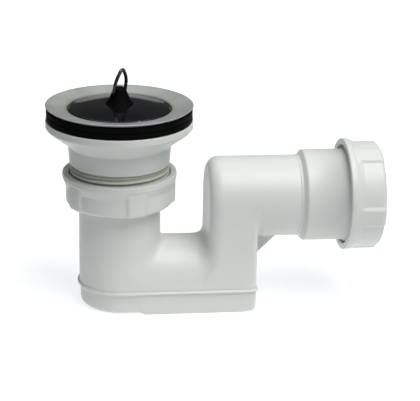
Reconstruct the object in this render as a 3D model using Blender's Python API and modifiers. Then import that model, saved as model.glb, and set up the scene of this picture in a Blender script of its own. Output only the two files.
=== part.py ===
"""Shower trap: a low 40 mm waste trap with a 70 mm stainless waste, a rubber plug and two coupling nuts.

The origin is on the flat underside of the base, on the axis of the inlet. +Z is up and +X runs to the outlet.
Lengths are metres.
"""

import math

import bmesh
import bpy
from mathutils import Matrix, Vector

# Fits
SEAT_GAP = 0.0003
RUNNING_CLEARANCE = 0.0004
SMALL_BORE_CLEARANCE = 0.0003

# The 40 mm waste pipe at the outlet, which the bores, threads and nuts are sized for
WASTE_PIPE_RADIUS = 0.0200

# Trap moulding
WALL = 0.0023
PARTITION_WALL = 0.0020
MOULD_STEP = 0.0001
VAULT_START = 0.0010
TUBE_UNDERSIZE = 0.0005
INLET_TUBE_ENTRY = 0.0269
TUBE_DRAFT = 0.0003
SKIRT_HEIGHT = 0.0008
BRIDGE_FILLET = 0.0050
OUTLET_AXIS_HEIGHT = 0.0534
RISER_START = 0.0421
RISER_LENGTH = 0.0233
RISER_ROUND = 0.0038
RISER_DROP = 0.0010
END_ROUND = 0.0026
SEAL_DEPTH = 0.0200
GUSSET_THICKNESS = 0.0026
GUSSET_LEG = 0.0122

# Outlet socket
SOCKET_START = 0.0869
SOCKET_STEP = 0.0024
SOCKET_WALL = 0.0019
SOCKET_DEPTH = 0.0298
THREAD_WALL = 0.0035
MOUTH_CHAMFER = 0.0026

# Base cap, welded under the trap body
CAP_HEIGHT = 0.0123
CAP_FLOOR = 0.0024
CAP_DISC_SETBACK = 0.0007
CAP_DISC_ROUND = 0.0036
CAP_PAD_START = 0.0100
CAP_PAD_ROUND = 0.0009
BEAD_PROUD = 0.00065
BEAD_HEIGHT = 0.0024
SPIGOT_SETBACK = 0.0013
SPIGOT_DEPTH = 0.0022

# Coupling nut, the same on both ends
INLET_NUT_LENGTH = 0.0155
OUTLET_NUT_LENGTH = 0.0173
NUT_WALL = 0.0032
NUT_END_WALL = 0.0024
NUT_ROUND = 0.0030
NUT_RIM_ROUND = 0.0007
NUT_COLLAR_LENGTH = 0.0032
NUT_RIB_SETBACK = 0.0005
NUT_POCKET_DEPTH = 0.0010
NUT_POCKET_RUNOUT = 0.0035
NUT_POCKETS = 5
NUT_POCKET_ANGLE = 48.0
NUT_POCKET_RAMP_ANGLE = 6.0
NUT_HOLE_CLEARANCE = 0.0005
INLET_NUT_FOOT = 0.0523
INLET_NUT_TURN = 29.0
OUTLET_NUT_TURN = 11.0
SLIP_RING_THICKNESS = 0.0015
SEAL_THICKNESS = 0.0022
SEAL_NOSE = 0.0022

# Waste body
BODY_NECK_FLARE = 0.0006
BODY_CONE_HEIGHT = 0.0080
BODY_RIM_HEIGHT = 0.0033
BODY_SEAT_WIDTH = 0.0040
BODY_THREAD_LENGTH = 0.0131
BOWL_DROP = 0.0007
THREAD_RELIEF_WIDTH = 0.0008
THREAD_RELIEF_DEPTH = 0.0010
BODY_WALL = 0.0026
SHOULDER_THICKNESS = 0.0018
HUB_RADIUS = 0.0062
HUB_DROP = 0.0018
SPIDER_ARMS = 3
SPIDER_ARM_WIDTH = 0.0030
SPIDER_ARM_HEIGHT = 0.0032
INSERT_RADIUS = 0.0040
INSERT_LENGTH = 0.0060

# Washers, flange, screw
FLANGE_WIDTH = 0.0091
FLANGE_EDGE = 0.0014
FLANGE_SHEET = 0.0010
FLANGE_RIM_WIDTH = 0.0014
FLANGE_DISH_DEPTH = 0.0020
FLANGE_THROAT_DEPTH = 0.0094
FLANGE_THROAT_TAPER = 0.0013
FLANGE_LIP = 0.0020
GRID_BAR_WIDTH = 0.0032
GRID_HUB_RADIUS = 0.0062
WASHER_SETBACK = 0.0004
WASHER_WIDTH = 0.0046
WASHER_THICKNESS = 0.0025
SCREW_RADIUS = 0.0025
SCREW_HEAD_RADIUS = 0.0047
SCREW_HEAD_HEIGHT = 0.0024
SCREW_SLOT = 0.0012
HUB_CLEARANCE = 0.0008

# Plug and pull ring
PLUG_RADIUS = 0.0241
PLUG_RIM_THICKNESS = 0.0018
PLUG_RIM_WIDTH = 0.0022
PLUG_BODY_DEPTH = 0.0046
PLUG_BODY_TAPER = 0.0007
PLUG_CROWN = 0.0023
BOSS_BASE_RADIUS = 0.0066
BOSS_WAIST_RADIUS = 0.0038
BOSS_WAIST_HEIGHT = 0.0050
BOSS_TOP_RADIUS = 0.0030
BOSS_HEIGHT = 0.0079
RING_PIVOT_DROP = 0.0030
RING_WIRE_RADIUS = 0.00085
RING_HEIGHT = 0.0122
RING_HALF_WIDTH = 0.0049
RING_END_SHARE = 0.45
RING_BEND_WIRES = 1.6
RING_SHOULDER_SHARE = 0.42
RING_CAP_SHARE = 0.42
RING_TURN = 235.0
RING_LEAN = -8.0

# Facets
TURNS = 40
SMALL_TURNS = 24
ARC_STEPS = 6

# Heights and places that follow from the sizes above
INLET_TUBE_RADIUS = WASTE_PIPE_RADIUS - TUBE_UNDERSIZE
HALF_DEPTH = INLET_TUBE_RADIUS + TUBE_DRAFT
OUTLET_PIPE_RADIUS = HALF_DEPTH - MOULD_STEP / 2
PIPE_SOCKET_BORE = WASTE_PIPE_RADIUS + RUNNING_CLEARANCE
SOCKET_RADIUS = PIPE_SOCKET_BORE + SOCKET_WALL
THREAD_RADIUS = PIPE_SOCKET_BORE + THREAD_WALL
NUT_BORE = THREAD_RADIUS + SEAT_GAP
NUT_COLLAR_RADIUS = NUT_BORE + NUT_WALL
SLIP_RING_SEAT = NUT_END_WALL + SEAT_GAP
SEAL_SEAT = SLIP_RING_SEAT + SLIP_RING_THICKNESS + SEAT_GAP
THREAD_END_SEAT = SEAL_SEAT + SEAL_THICKNESS + SEAT_GAP
SOCKET_END = SOCKET_START + SOCKET_STEP + SOCKET_DEPTH
OUTLET_NUT_END = SOCKET_END + THREAD_END_SEAT
TAIL_END = INLET_NUT_FOOT + THREAD_END_SEAT
NECK_START = TAIL_END + BODY_THREAD_LENGTH
INLET_TUBE_TOP = INLET_NUT_FOOT + INLET_TUBE_ENTRY
SHOULDER_FOOT = INLET_TUBE_TOP + SEAT_GAP
CONE_START = SHOULDER_FOOT + SHOULDER_THICKNESS + BOWL_DROP
RIM_START = CONE_START + BODY_CONE_HEIGHT
BODY_TOP = RIM_START + BODY_RIM_HEIGHT
LOWER_WASHER_FOOT = BODY_TOP + SEAT_GAP
UPPER_WASHER_FOOT = LOWER_WASHER_FOOT + WASHER_THICKNESS + SEAT_GAP
FLANGE_FOOT = UPPER_WASHER_FOOT + WASHER_THICKNESS + SEAT_GAP
FLANGE_TOP = FLANGE_FOOT + FLANGE_EDGE
DISH_FLOOR = FLANGE_TOP - FLANGE_DISH_DEPTH
GRID_TOP = DISH_FLOOR - FLANGE_THROAT_DEPTH
HUB_TOP = GRID_TOP - FLANGE_SHEET - HUB_CLEARANCE
PLUG_RIM_SEAT = DISH_FLOOR - PLUG_RIM_THICKNESS
PLUG_TOP = DISH_FLOOR + SEAT_GAP
THROAT_RADIUS = PLUG_RADIUS + SMALL_BORE_CLEARANCE
THROAT_OUTSIDE = THROAT_RADIUS + FLANGE_SHEET * 1.5
FLANGE_RADIUS = THROAT_OUTSIDE + FLANGE_WIDTH
WASHER_RADIUS = FLANGE_RADIUS - WASHER_SETBACK
WASHER_BORE = WASHER_RADIUS - WASHER_WIDTH
BODY_SEAT_BORE = FLANGE_RADIUS - BODY_SEAT_WIDTH
RISER_END = RISER_START + RISER_LENGTH
SKIRT_FOOT = CAP_HEIGHT + SEAT_GAP
BRIDGE_AXIS_HEIGHT = SKIRT_FOOT + SKIRT_HEIGHT
SKIRT_MIDDLE = SKIRT_FOOT + SKIRT_HEIGHT / 2
SPIGOT_FOOT = SKIRT_FOOT - SPIGOT_DEPTH
WEIR_HEIGHT = OUTLET_AXIS_HEIGHT - OUTLET_PIPE_RADIUS + WALL
PARTITION_FOOT = WEIR_HEIGHT - SEAL_DEPTH


def start_empty_scene():
    for old in list(bpy.data.objects):
        bpy.data.objects.remove(old, do_unlink=True)
    parts = bpy.data.collections.new("shower_trap")
    tools = bpy.data.collections.new("construction")
    bpy.context.scene.collection.children.link(parts)
    bpy.context.scene.collection.children.link(tools)
    tools.hide_render = True
    return parts, tools


PARTS, TOOLS = start_empty_scene()


def material(name, colour, roughness, metallic=0.0):
    made = bpy.data.materials.new(name)
    made.use_nodes = True
    shader = made.node_tree.nodes["Principled BSDF"]
    shader.inputs["Base Color"].default_value = (*colour, 1.0)
    shader.inputs["Roughness"].default_value = roughness
    shader.inputs["Metallic"].default_value = metallic
    return made


PLASTIC = material("white_polypropylene", (0.78, 0.79, 0.76), 0.38)
STEEL = material("polished_stainless", (0.66, 0.66, 0.64), 0.16, 1.0)
BRASS = material("brass", (0.72, 0.52, 0.22), 0.30, 1.0)
RUBBER = material("black_rubber", (0.012, 0.012, 0.013), 0.55)
PLUG_BLACK = material("gloss_black_rubber", (0.015, 0.015, 0.016), 0.18)
RING_BLACK = material("gloss_black_wire", (0.02, 0.02, 0.02), 0.12)


def new_object(name, mesh, surface, location=(0, 0, 0), rotation=(0, 0, 0)):
    """A part where a material is given, else a hidden construction piece."""
    made = bpy.data.objects.new(name, mesh)
    made.location = location
    made.rotation_euler = rotation
    if surface is None:
        TOOLS.objects.link(made)
        made.hide_render = True
        made.display_type = "WIRE"
    else:
        PARTS.objects.link(made)
        mesh.materials.append(surface)
    return made


def arc(centre, radii, start, end, steps=ARC_STEPS):
    """Points along an ellipse arc, angles in degrees."""
    angles = [math.radians(start + (end - start) * step / steps) for step in range(steps + 1)]
    return [(centre[0] + radii[0] * math.cos(a), centre[1] + radii[1] * math.sin(a)) for a in angles]


def turned(name, profile, surface, location=(0, 0, 0), rotation=(0, 0, 0), steps=TURNS):
    """Turns a closed profile of (radius, height) points, listed down the outside and up the inside."""
    mesh = bpy.data.meshes.new(name)
    points = [(radius, 0.0, height) for radius, height in profile]
    edges = [(i, i + 1) for i in range(len(points) - 1)]
    if profile[0][0] > 0 or profile[-1][0] > 0:
        edges.append((len(points) - 1, 0))
    mesh.from_pydata(points, edges, [])
    made = new_object(name, mesh, surface, location, rotation)
    screw = made.modifiers.new("turn", "SCREW")
    screw.axis = "Z"
    screw.angle = math.radians(360)
    screw.steps = steps
    screw.render_steps = steps
    screw.use_merge_vertices = True
    screw.merge_threshold = 0.00001
    screw.use_smooth_shade = True
    return made


def box(name, low, high, surface=None):
    """A box between two corners, with its size held in the mesh."""
    mesh = bpy.data.meshes.new(name)
    shape = bmesh.new()
    bmesh.ops.create_cube(shape, size=1.0)
    size = [b - a for a, b in zip(low, high)]
    bmesh.ops.scale(shape, vec=size, verts=shape.verts)
    bmesh.ops.translate(shape, vec=[(a + b) / 2 for a, b in zip(low, high)], verts=shape.verts)
    shape.to_mesh(mesh)
    shape.free()
    return new_object(name, mesh, surface)


def prism(name, outline, low, high, surface=None, turn=None):
    """Extrudes a flat outline of (x, y) points from height low to high, then turns it if asked."""
    mesh = bpy.data.meshes.new(name)
    shape = bmesh.new()
    floor = shape.faces.new([shape.verts.new((x, y, low)) for x, y in outline])
    raised = bmesh.ops.extrude_face_region(shape, geom=[floor])["geom"]
    top = [item for item in raised if isinstance(item, bmesh.types.BMVert)]
    bmesh.ops.translate(shape, vec=(0, 0, high - low), verts=top)
    bmesh.ops.recalc_face_normals(shape, faces=shape.faces)
    if turn is not None:
        bmesh.ops.transform(shape, matrix=turn, verts=shape.verts)
    shape.to_mesh(mesh)
    shape.free()
    return new_object(name, mesh, surface)


def combine(target, other, operation):
    modifier = target.modifiers.new(other.name, "BOOLEAN")
    modifier.operation = operation
    modifier.solver = "EXACT"
    modifier.object = other


def plan_outline(inset=0.0):
    """The trap's plan: round under the inlet, straight along the bridge, rounded corners at the riser."""
    radius = HALF_DEPTH + MOULD_STEP - inset
    corner = max(END_ROUND - inset, SEAT_GAP)
    end = RISER_END + MOULD_STEP - inset
    points = arc((end - corner, radius - corner), (corner, corner), 0, 90, 4)
    points += arc((0.0, 0.0), (radius, radius), 90, 270, TURNS // 2)
    return points + arc((end - corner, corner - radius), (corner, corner), 270, 360, 4)


def riser_outline(inset=0.0):
    """The riser's plan: larger rounds to the bridge, smaller ones at the outer end."""
    half = HALF_DEPTH - inset
    first = max(RISER_ROUND - inset, SEAT_GAP)
    last = max(END_ROUND - inset, SEAT_GAP)
    low, high = RISER_START - MOULD_STEP + inset, RISER_END - inset
    points = arc((high - last, half - last), (last, last), 0, 90, 4)
    points += arc((low + first, half - first), (first, first), 90, 180, 5)
    points += arc((low + first, first - half), (first, first), 180, 270, 5)
    return points + arc((high - last, last - half), (last, last), 270, 360, 4)


# Local +Z of a piece turned this way runs along +X, or along -X for the second.
TO_OUTLET = (0.0, math.radians(90), 0.0)
TO_INLET = (0.0, math.radians(-90), 0.0)
SIDE_ON = Matrix.Rotation(math.radians(90), 4, "X")
OUTLET_ORIGIN = (0.0, 0.0, OUTLET_AXIS_HEIGHT)


def make_outlet_run(name, inset, surface=None):
    """Elbow, pipe and socket as one turned solid along the outlet axis, or its bore when inset is a wall."""
    radius = OUTLET_PIPE_RADIUS - inset
    start = RISER_START + inset
    rounding = RISER_ROUND - inset / 2
    if inset:
        mouth = PIPE_SOCKET_BORE + MOUTH_CHAMFER
        stop = SOCKET_START + SOCKET_STEP
        profile = [(0.0, SOCKET_END + MOULD_STEP), (mouth + MOULD_STEP, SOCKET_END + MOULD_STEP)]
        profile += [(PIPE_SOCKET_BORE, SOCKET_END - MOUTH_CHAMFER), (PIPE_SOCKET_BORE, stop), (radius, stop)]
    else:
        thread_start = OUTLET_NUT_END - OUTLET_NUT_LENGTH + THREAD_RELIEF_WIDTH
        profile = [(0.0, SOCKET_END), (THREAD_RADIUS, SOCKET_END), (THREAD_RADIUS, thread_start)]
        profile += [(SOCKET_RADIUS, thread_start), (SOCKET_RADIUS, SOCKET_START + SOCKET_STEP)]
        profile += [(radius, SOCKET_START)]
    profile += arc((radius - rounding, start + rounding), (rounding, rounding), 0, -90, 5)
    profile += [(0.0, start)]
    return turned(name, profile, surface, OUTLET_ORIGIN, TO_OUTLET)


def make_bridge(name, radius):
    """A round vault along +X at the bridge's springing, as the outer form or as its bore."""
    length = RISER_START + RISER_ROUND * 2
    profile = [(0.0, length), (radius, length), (radius, VAULT_START), (0.0, VAULT_START)]
    return turned(name, profile, None, (0.0, 0.0, BRIDGE_AXIS_HEIGHT), TO_OUTLET)


def make_bridge_fillet(radius):
    """The concave sweep from the vault up to the riser, no wider than the body."""
    edge = radius + BRIDGE_FILLET - MOULD_STEP
    foot = RISER_START - BRIDGE_FILLET
    top = RISER_START + RISER_ROUND
    profile = [(edge, top)] + arc((edge, foot), (BRIDGE_FILLET, BRIDGE_FILLET), 90, 180, 5)
    profile += [(radius / 2, foot), (radius / 2, top)]
    fillet = turned("bridge_fillet", profile, None, (0.0, 0.0, BRIDGE_AXIS_HEIGHT), TO_OUTLET)
    half = radius - MOULD_STEP
    slab = box("bridge_slab", (0.0, -half, BRIDGE_AXIS_HEIGHT + WALL), (RISER_END, half, OUTLET_AXIS_HEIGHT))
    combine(fillet, slab, "INTERSECT")
    return fillet


def make_gusset():
    """Thin web between the riser and the underside of the outlet pipe."""
    pipe_foot = OUTLET_AXIS_HEIGHT - OUTLET_PIPE_RADIUS
    root = WALL / 2
    web = [(RISER_END - root, pipe_foot - GUSSET_LEG - root), (RISER_END - root, pipe_foot + root)]
    web += [(RISER_END + GUSSET_LEG + root, pipe_foot + root)]
    return prism("gusset", web, -GUSSET_THICKNESS / 2, GUSSET_THICKNESS / 2, turn=SIDE_ON)


def make_trap_body():
    """One moulding: inlet tube, vaulted bridge, riser, elbow and outlet socket, hollow all through."""
    vault_radius = HALF_DEPTH - MOULD_STEP
    bridge_top = BRIDGE_AXIS_HEIGHT + vault_radius
    tube = [(0.0, INLET_TUBE_TOP), (INLET_TUBE_RADIUS, INLET_TUBE_TOP), (HALF_DEPTH, bridge_top)]
    tube += [(HALF_DEPTH, SKIRT_MIDDLE), (0.0, SKIRT_MIDDLE)]
    body = turned("trap_body", tube, PLASTIC)
    vault = make_bridge("bridge_vault", vault_radius)
    reach = HALF_DEPTH * 2
    below = box("below_skirt", (-reach, -reach, -reach), (RISER_END, reach, SKIRT_MIDDLE))
    combine(vault, below, "DIFFERENCE")
    skirt = prism("skirt", plan_outline(), SKIRT_FOOT, BRIDGE_AXIS_HEIGHT - MOULD_STEP)
    spigot = prism("spigot", plan_outline(SPIGOT_SETBACK), SPIGOT_FOOT, SKIRT_MIDDLE)
    riser = prism("riser", riser_outline(), SKIRT_MIDDLE, OUTLET_AXIS_HEIGHT - RISER_DROP)
    run = make_outlet_run("outlet_run", 0.0)
    for piece in (vault, skirt, spigot, riser, make_bridge_fillet(vault_radius), run, make_gusset()):
        combine(body, piece, "UNION")
    for cavity in make_waterway():
        combine(body, cavity, "DIFFERENCE")
    return body


def make_waterway():
    """The bores inside the body: down the inlet, under the partition, up the riser and along the outlet."""
    bore_radius = INLET_TUBE_RADIUS - PARTITION_WALL
    above = INLET_TUBE_TOP + WALL
    inlet = turned("inlet_bore", [(0.0, above), (bore_radius, above), (bore_radius, 0.0), (0.0, 0.0)], None)
    vault = make_bridge("bridge_bore", HALF_DEPTH - MOULD_STEP - WALL)
    partition = [(0.0, above), (INLET_TUBE_RADIUS, above), (INLET_TUBE_RADIUS, -above), (0.0, -above)]
    combine(vault, turned("partition", partition, None), "DIFFERENCE")
    chamber = prism("chamber_bore", plan_outline(WALL), 0.0, PARTITION_FOOT)
    riser = prism("riser_bore", riser_outline(WALL), PARTITION_FOOT - WALL, OUTLET_AXIS_HEIGHT - RISER_DROP)
    run = make_outlet_run("outlet_bore", WALL)
    return inlet, vault, chamber, riser, run


def make_base_cap():
    """The lower moulding: a round bowl under the inlet, a flat pad under the bridge and the weld bead."""
    disc_radius = HALF_DEPTH - CAP_DISC_SETBACK
    rounding = (CAP_DISC_ROUND, CAP_DISC_ROUND)
    joint = CAP_HEIGHT - BEAD_HEIGHT / 2
    disc = [(0.0, joint), (disc_radius, joint)]
    disc += arc((disc_radius - CAP_DISC_ROUND, CAP_DISC_ROUND), rounding, 0, -90, 4) + [(0.0, 0.0)]
    cap = turned("base_cap", disc, PLASTIC)
    pad_outline = [(x, y) for x, y in plan_outline() if x > CAP_PAD_START]
    half = pad_outline[4][1]
    pad_outline = pad_outline[:5] + [(CAP_PAD_START, half), (CAP_PAD_START, -half)] + pad_outline[-5:]
    pad = prism("cap_pad", pad_outline, 0.0, joint)
    bevel_low_edges(pad, CAP_PAD_ROUND)
    combine(cap, pad, "UNION")
    bead = prism("weld_bead", plan_outline(-BEAD_PROUD), CAP_HEIGHT - BEAD_HEIGHT, CAP_HEIGHT)
    round_all_edges(bead, BEAD_PROUD)
    combine(cap, bead, "UNION")
    above = CAP_HEIGHT + WALL
    rebate = prism("cap_rebate", plan_outline(SPIGOT_SETBACK - SEAT_GAP), SPIGOT_FOOT - SEAT_GAP, above)
    hollow = prism("cap_hollow", plan_outline(WALL + CAP_DISC_SETBACK), CAP_FLOOR, joint)
    combine(cap, rebate, "DIFFERENCE")
    combine(cap, hollow, "DIFFERENCE")
    return cap


def bevel_low_edges(made, width):
    """Rounds the edges of the lowest face."""
    shape = bmesh.new()
    shape.from_mesh(made.data)
    low = min(vertex.co.z for vertex in shape.verts)
    edges = [e for e in shape.edges if all(abs(v.co.z - low) < 1e-6 for v in e.verts)]
    bmesh.ops.bevel(shape, geom=edges, offset=width, segments=3, profile=0.5, affect="EDGES")
    shape.to_mesh(made.data)
    shape.free()


def round_all_edges(made, width):
    """Rounds the upper and lower rim of a prism."""
    shape = bmesh.new()
    shape.from_mesh(made.data)
    edges = [e for e in shape.edges if abs(e.verts[0].co.z - e.verts[1].co.z) < 1e-6]
    bmesh.ops.bevel(shape, geom=edges, offset=width, segments=3, profile=0.5, affect="EDGES")
    shape.to_mesh(made.data)
    shape.free()


def make_nut(name, tube_radius, length, location, rotation, turn):
    """Coupling nut with its closed end at local zero: threaded bore, plain collar and five grip pockets."""
    hole = tube_radius + NUT_HOLE_CLEARANCE
    rib = NUT_COLLAR_RADIUS - NUT_RIB_SETBACK
    collar_start = length - NUT_COLLAR_LENGTH
    rim = (NUT_COLLAR_RADIUS - NUT_RIM_ROUND, length - NUT_RIM_ROUND)
    outer = [(NUT_BORE, length)] + arc(rim, (NUT_RIM_ROUND, NUT_RIM_ROUND), 90, 0, 2)
    outer += [(NUT_COLLAR_RADIUS, collar_start + NUT_RIB_SETBACK), (rib, collar_start)]
    outer += arc((rib - NUT_ROUND, NUT_ROUND), (NUT_ROUND, NUT_ROUND), 0, -90, 4)
    profile = outer + [(hole, 0.0), (hole, NUT_END_WALL), (NUT_BORE, NUT_END_WALL)]
    nut = turned(name, profile, PLASTIC, location, rotation)
    nut.rotation_mode = "QUATERNION"
    spin = Matrix.Rotation(math.radians(turn), 4, "Z")
    tilt = Matrix.Rotation(rotation[1], 4, "Y")
    nut.rotation_quaternion = (tilt @ spin).to_quaternion()
    cutter = make_pocket_cutter(name + "_pockets", rib, collar_start)
    cutter.rotation_mode = "QUATERNION"
    cutter.rotation_quaternion = nut.rotation_quaternion
    cutter.location = location
    combine(nut, cutter, "DIFFERENCE")
    return nut


def make_pocket_cutter(name, rib, collar_start):
    """Five curved bars for the grip pockets, open at the closed end and ramped up to the collar."""
    floor = rib - NUT_POCKET_DEPTH
    beyond = NUT_COLLAR_RADIUS + NUT_RIB_SETBACK
    top = collar_start + NUT_RIB_SETBACK
    mesh = bpy.data.meshes.new(name)
    shape = bmesh.new()
    half = NUT_POCKET_ANGLE / 2
    rim = half + NUT_POCKET_RAMP_ANGLE
    overshoot = NUT_POCKET_RAMP_ANGLE * (beyond - rib) / (rib - floor)
    for pocket in range(NUT_POCKETS):
        middle = 360.0 * pocket / NUT_POCKETS
        inner = arc((0.0, 0.0), (floor, floor), middle - half, middle + half, 6)
        outer = arc((0.0, 0.0), (beyond, beyond), middle + rim + overshoot, middle - rim - overshoot, 6)
        face = shape.faces.new([shape.verts.new((x, y, -NUT_ROUND)) for x, y in inner + outer])
        raised = bmesh.ops.extrude_face_region(shape, geom=[face])["geom"]
        lifted = [item for item in raised if isinstance(item, bmesh.types.BMVert)]
        bmesh.ops.translate(shape, vec=(0, 0, top + NUT_ROUND), verts=lifted)
        ramped = [v for v in lifted if math.hypot(v.co.x, v.co.y) < rib]
        bmesh.ops.translate(shape, vec=(0, 0, collar_start - NUT_POCKET_RUNOUT - top), verts=ramped)
    bmesh.ops.recalc_face_normals(shape, faces=shape.faces)
    shape.to_mesh(mesh)
    shape.free()
    return new_object(name, mesh, None)


def make_slip_ring(name, tube_radius, location, rotation):
    inner = tube_radius + NUT_HOLE_CLEARANCE
    outer = NUT_BORE - SEAT_GAP
    low, high = SLIP_RING_SEAT, SLIP_RING_SEAT + SLIP_RING_THICKNESS
    section = [(outer, high), (outer, low), (inner, low), (inner, high)]
    return turned(name, section, PLASTIC, location, rotation)


def make_seal(name, tube_radius, location, rotation):
    """Tapered rubber seal: a flat flange on the slip ring and a nose in the chamfered mouth of the socket."""
    inner = tube_radius + SMALL_BORE_CLEARANCE
    outer = NUT_BORE - SEAT_GAP
    low, high = SEAL_SEAT, SEAL_SEAT + SEAL_THICKNESS
    nose_foot = PIPE_SOCKET_BORE + MOUTH_CHAMFER - SEAT_GAP * 2
    nose_tip = nose_foot - SEAL_NOSE
    nose = max(nose_tip, inner + SEAT_GAP)
    profile = [(nose, high + SEAL_NOSE), (nose_foot, high), (outer, high), (outer, low), (inner, low)]
    return turned(name, profile + [(inner, high + SEAL_NOSE)], RUBBER, location, rotation)


def make_waste_body():
    """Upper moulding: rim and bowl, neck and threaded tail over the inlet tube, with a three-arm spider."""
    neck = THREAD_RADIUS + SEAT_GAP / 3
    cone_foot = neck + BODY_NECK_FLARE
    relief = NECK_START - THREAD_RELIEF_WIDTH
    bore = INLET_TUBE_RADIUS + RUNNING_CLEARANCE
    throat = bore - PARTITION_WALL
    bowl_foot = cone_foot - BODY_WALL
    outside = [(FLANGE_RADIUS, BODY_TOP), (FLANGE_RADIUS, RIM_START + SEAT_GAP)]
    outside += [(FLANGE_RADIUS - FLANGE_EDGE / 2, RIM_START - FLANGE_EDGE / 2)]
    outside += [(cone_foot + FLANGE_EDGE / 2, CONE_START + FLANGE_EDGE / 4)]
    groove = neck - THREAD_RELIEF_DEPTH
    outside += [(cone_foot, CONE_START - FLANGE_EDGE / 2), (neck, NECK_START), (groove, NECK_START)]
    outside += [(groove, relief), (THREAD_RADIUS, relief), (THREAD_RADIUS, TAIL_END)]
    mouth = bore + MOUTH_CHAMFER
    inside = [(mouth, TAIL_END), (bore, TAIL_END + MOUTH_CHAMFER), (bore, SHOULDER_FOOT)]
    shoulder_top = SHOULDER_FOOT + SHOULDER_THICKNESS
    inside += [(throat, SHOULDER_FOOT), (throat, shoulder_top), (bowl_foot, shoulder_top)]
    inside += [(bowl_foot, CONE_START + BODY_WALL / 2), (BODY_SEAT_BORE, BODY_TOP - BODY_WALL)]
    inside += [(BODY_SEAT_BORE, BODY_TOP)]
    body = turned("waste_body", outside + inside, PLASTIC)
    hub_foot = CONE_START - HUB_DROP
    hub = [(0.0, HUB_TOP), (HUB_RADIUS, HUB_TOP), (HUB_RADIUS, hub_foot), (0.0, hub_foot)]
    combine(body, turned("spider_hub", hub, None, steps=SMALL_TURNS), "UNION")
    arm_reach = bowl_foot + BODY_WALL
    arm_foot = CONE_START + SEAT_GAP
    for arm in range(SPIDER_ARMS):
        low = (0.0, -SPIDER_ARM_WIDTH / 2, arm_foot)
        high = (arm_reach, SPIDER_ARM_WIDTH / 2, arm_foot + SPIDER_ARM_HEIGHT)
        bar = box(f"spider_arm_{arm + 1}", low, high)
        bar.rotation_euler = (0.0, 0.0, math.radians(90 + 360 * arm / SPIDER_ARMS))
        combine(body, bar, "UNION")
    pocket = INSERT_RADIUS + SMALL_BORE_CLEARANCE
    through = SCREW_RADIUS + SMALL_BORE_CLEARANCE * 2
    pocket_foot = HUB_TOP - INSERT_LENGTH - SEAT_GAP
    hole = [(0.0, FLANGE_TOP), (pocket, FLANGE_TOP), (pocket, pocket_foot), (through, pocket_foot)]
    hole += [(through, hub_foot - WALL), (0.0, hub_foot - WALL)]
    combine(body, turned("hub_hole", hole, None, steps=SMALL_TURNS), "DIFFERENCE")
    return body


def make_screw_insert():
    bore = SCREW_RADIUS + SMALL_BORE_CLEARANCE
    foot = HUB_TOP - INSERT_LENGTH
    profile = [(INSERT_RADIUS, HUB_TOP), (INSERT_RADIUS, foot), (bore, foot), (bore, HUB_TOP)]
    return turned("screw_insert", profile, BRASS, steps=SMALL_TURNS)


def make_washer(name, foot):
    top = foot + WASHER_THICKNESS
    rounding = WASHER_SETBACK
    profile = [(WASHER_BORE, top), (WASHER_RADIUS - rounding, top), (WASHER_RADIUS, top - rounding)]
    profile += [(WASHER_RADIUS, foot + rounding), (WASHER_RADIUS - rounding, foot), (WASHER_BORE, foot)]
    return turned(name, profile, RUBBER)


def make_flange():
    """Pressed stainless flange: rounded rim, shallow dish, tapered throat and a cross at the foot."""
    ledge = THROAT_RADIUS - PLUG_RIM_WIDTH
    ledge_top = PLUG_RIM_SEAT - SEAT_GAP
    foot_radius = ledge - FLANGE_THROAT_TAPER
    rim = FLANGE_RADIUS - FLANGE_RIM_WIDTH
    top = [(THROAT_RADIUS, DISH_FLOOR), (rim, FLANGE_TOP)]
    top += arc((rim, FLANGE_FOOT + SEAT_GAP), (FLANGE_RIM_WIDTH, FLANGE_EDGE - SEAT_GAP), 75, 0, 4)
    underside = [(FLANGE_RADIUS, FLANGE_FOOT), (WASHER_BORE - SEAT_GAP, FLANGE_FOOT)]
    ledge_foot = ledge_top - FLANGE_SHEET
    underside += [(THROAT_OUTSIDE, DISH_FLOOR - FLANGE_SHEET)]
    underside += [(THROAT_RADIUS + FLANGE_SHEET, ledge_top), (THROAT_RADIUS + FLANGE_SHEET / 2, ledge_foot)]
    underside += [(ledge + FLANGE_SHEET, ledge_foot)]
    underside += [(foot_radius + FLANGE_SHEET, GRID_TOP - FLANGE_SHEET)]
    lip = foot_radius - FLANGE_LIP
    inside = [(lip, GRID_TOP - FLANGE_SHEET), (lip, GRID_TOP), (foot_radius, GRID_TOP), (ledge, ledge_top)]
    inside += [(THROAT_RADIUS, ledge_top)]
    flange = turned("waste_flange", top + underside + inside, STEEL)
    reach = lip + FLANGE_LIP / 2
    low, high = GRID_TOP - FLANGE_SHEET, GRID_TOP
    half = GRID_BAR_WIDTH / 2
    combine(flange, box("grid_bar_x", (-reach, -half, low), (reach, half, high)), "UNION")
    combine(flange, box("grid_bar_y", (-half, -reach, low), (half, reach, high)), "UNION")
    hub = [(0.0, high), (GRID_HUB_RADIUS, high), (GRID_HUB_RADIUS, low), (0.0, low)]
    combine(flange, turned("grid_hub", hub, None, steps=SMALL_TURNS), "UNION")
    hole = SCREW_RADIUS + SMALL_BORE_CLEARANCE
    drill = [(0.0, high + FLANGE_SHEET), (hole, high + FLANGE_SHEET), (hole, low - FLANGE_SHEET)]
    drill = turned("grid_hole", drill + [(0.0, low - FLANGE_SHEET)], None, steps=SMALL_TURNS)
    combine(flange, drill, "DIFFERENCE")
    return flange


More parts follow.
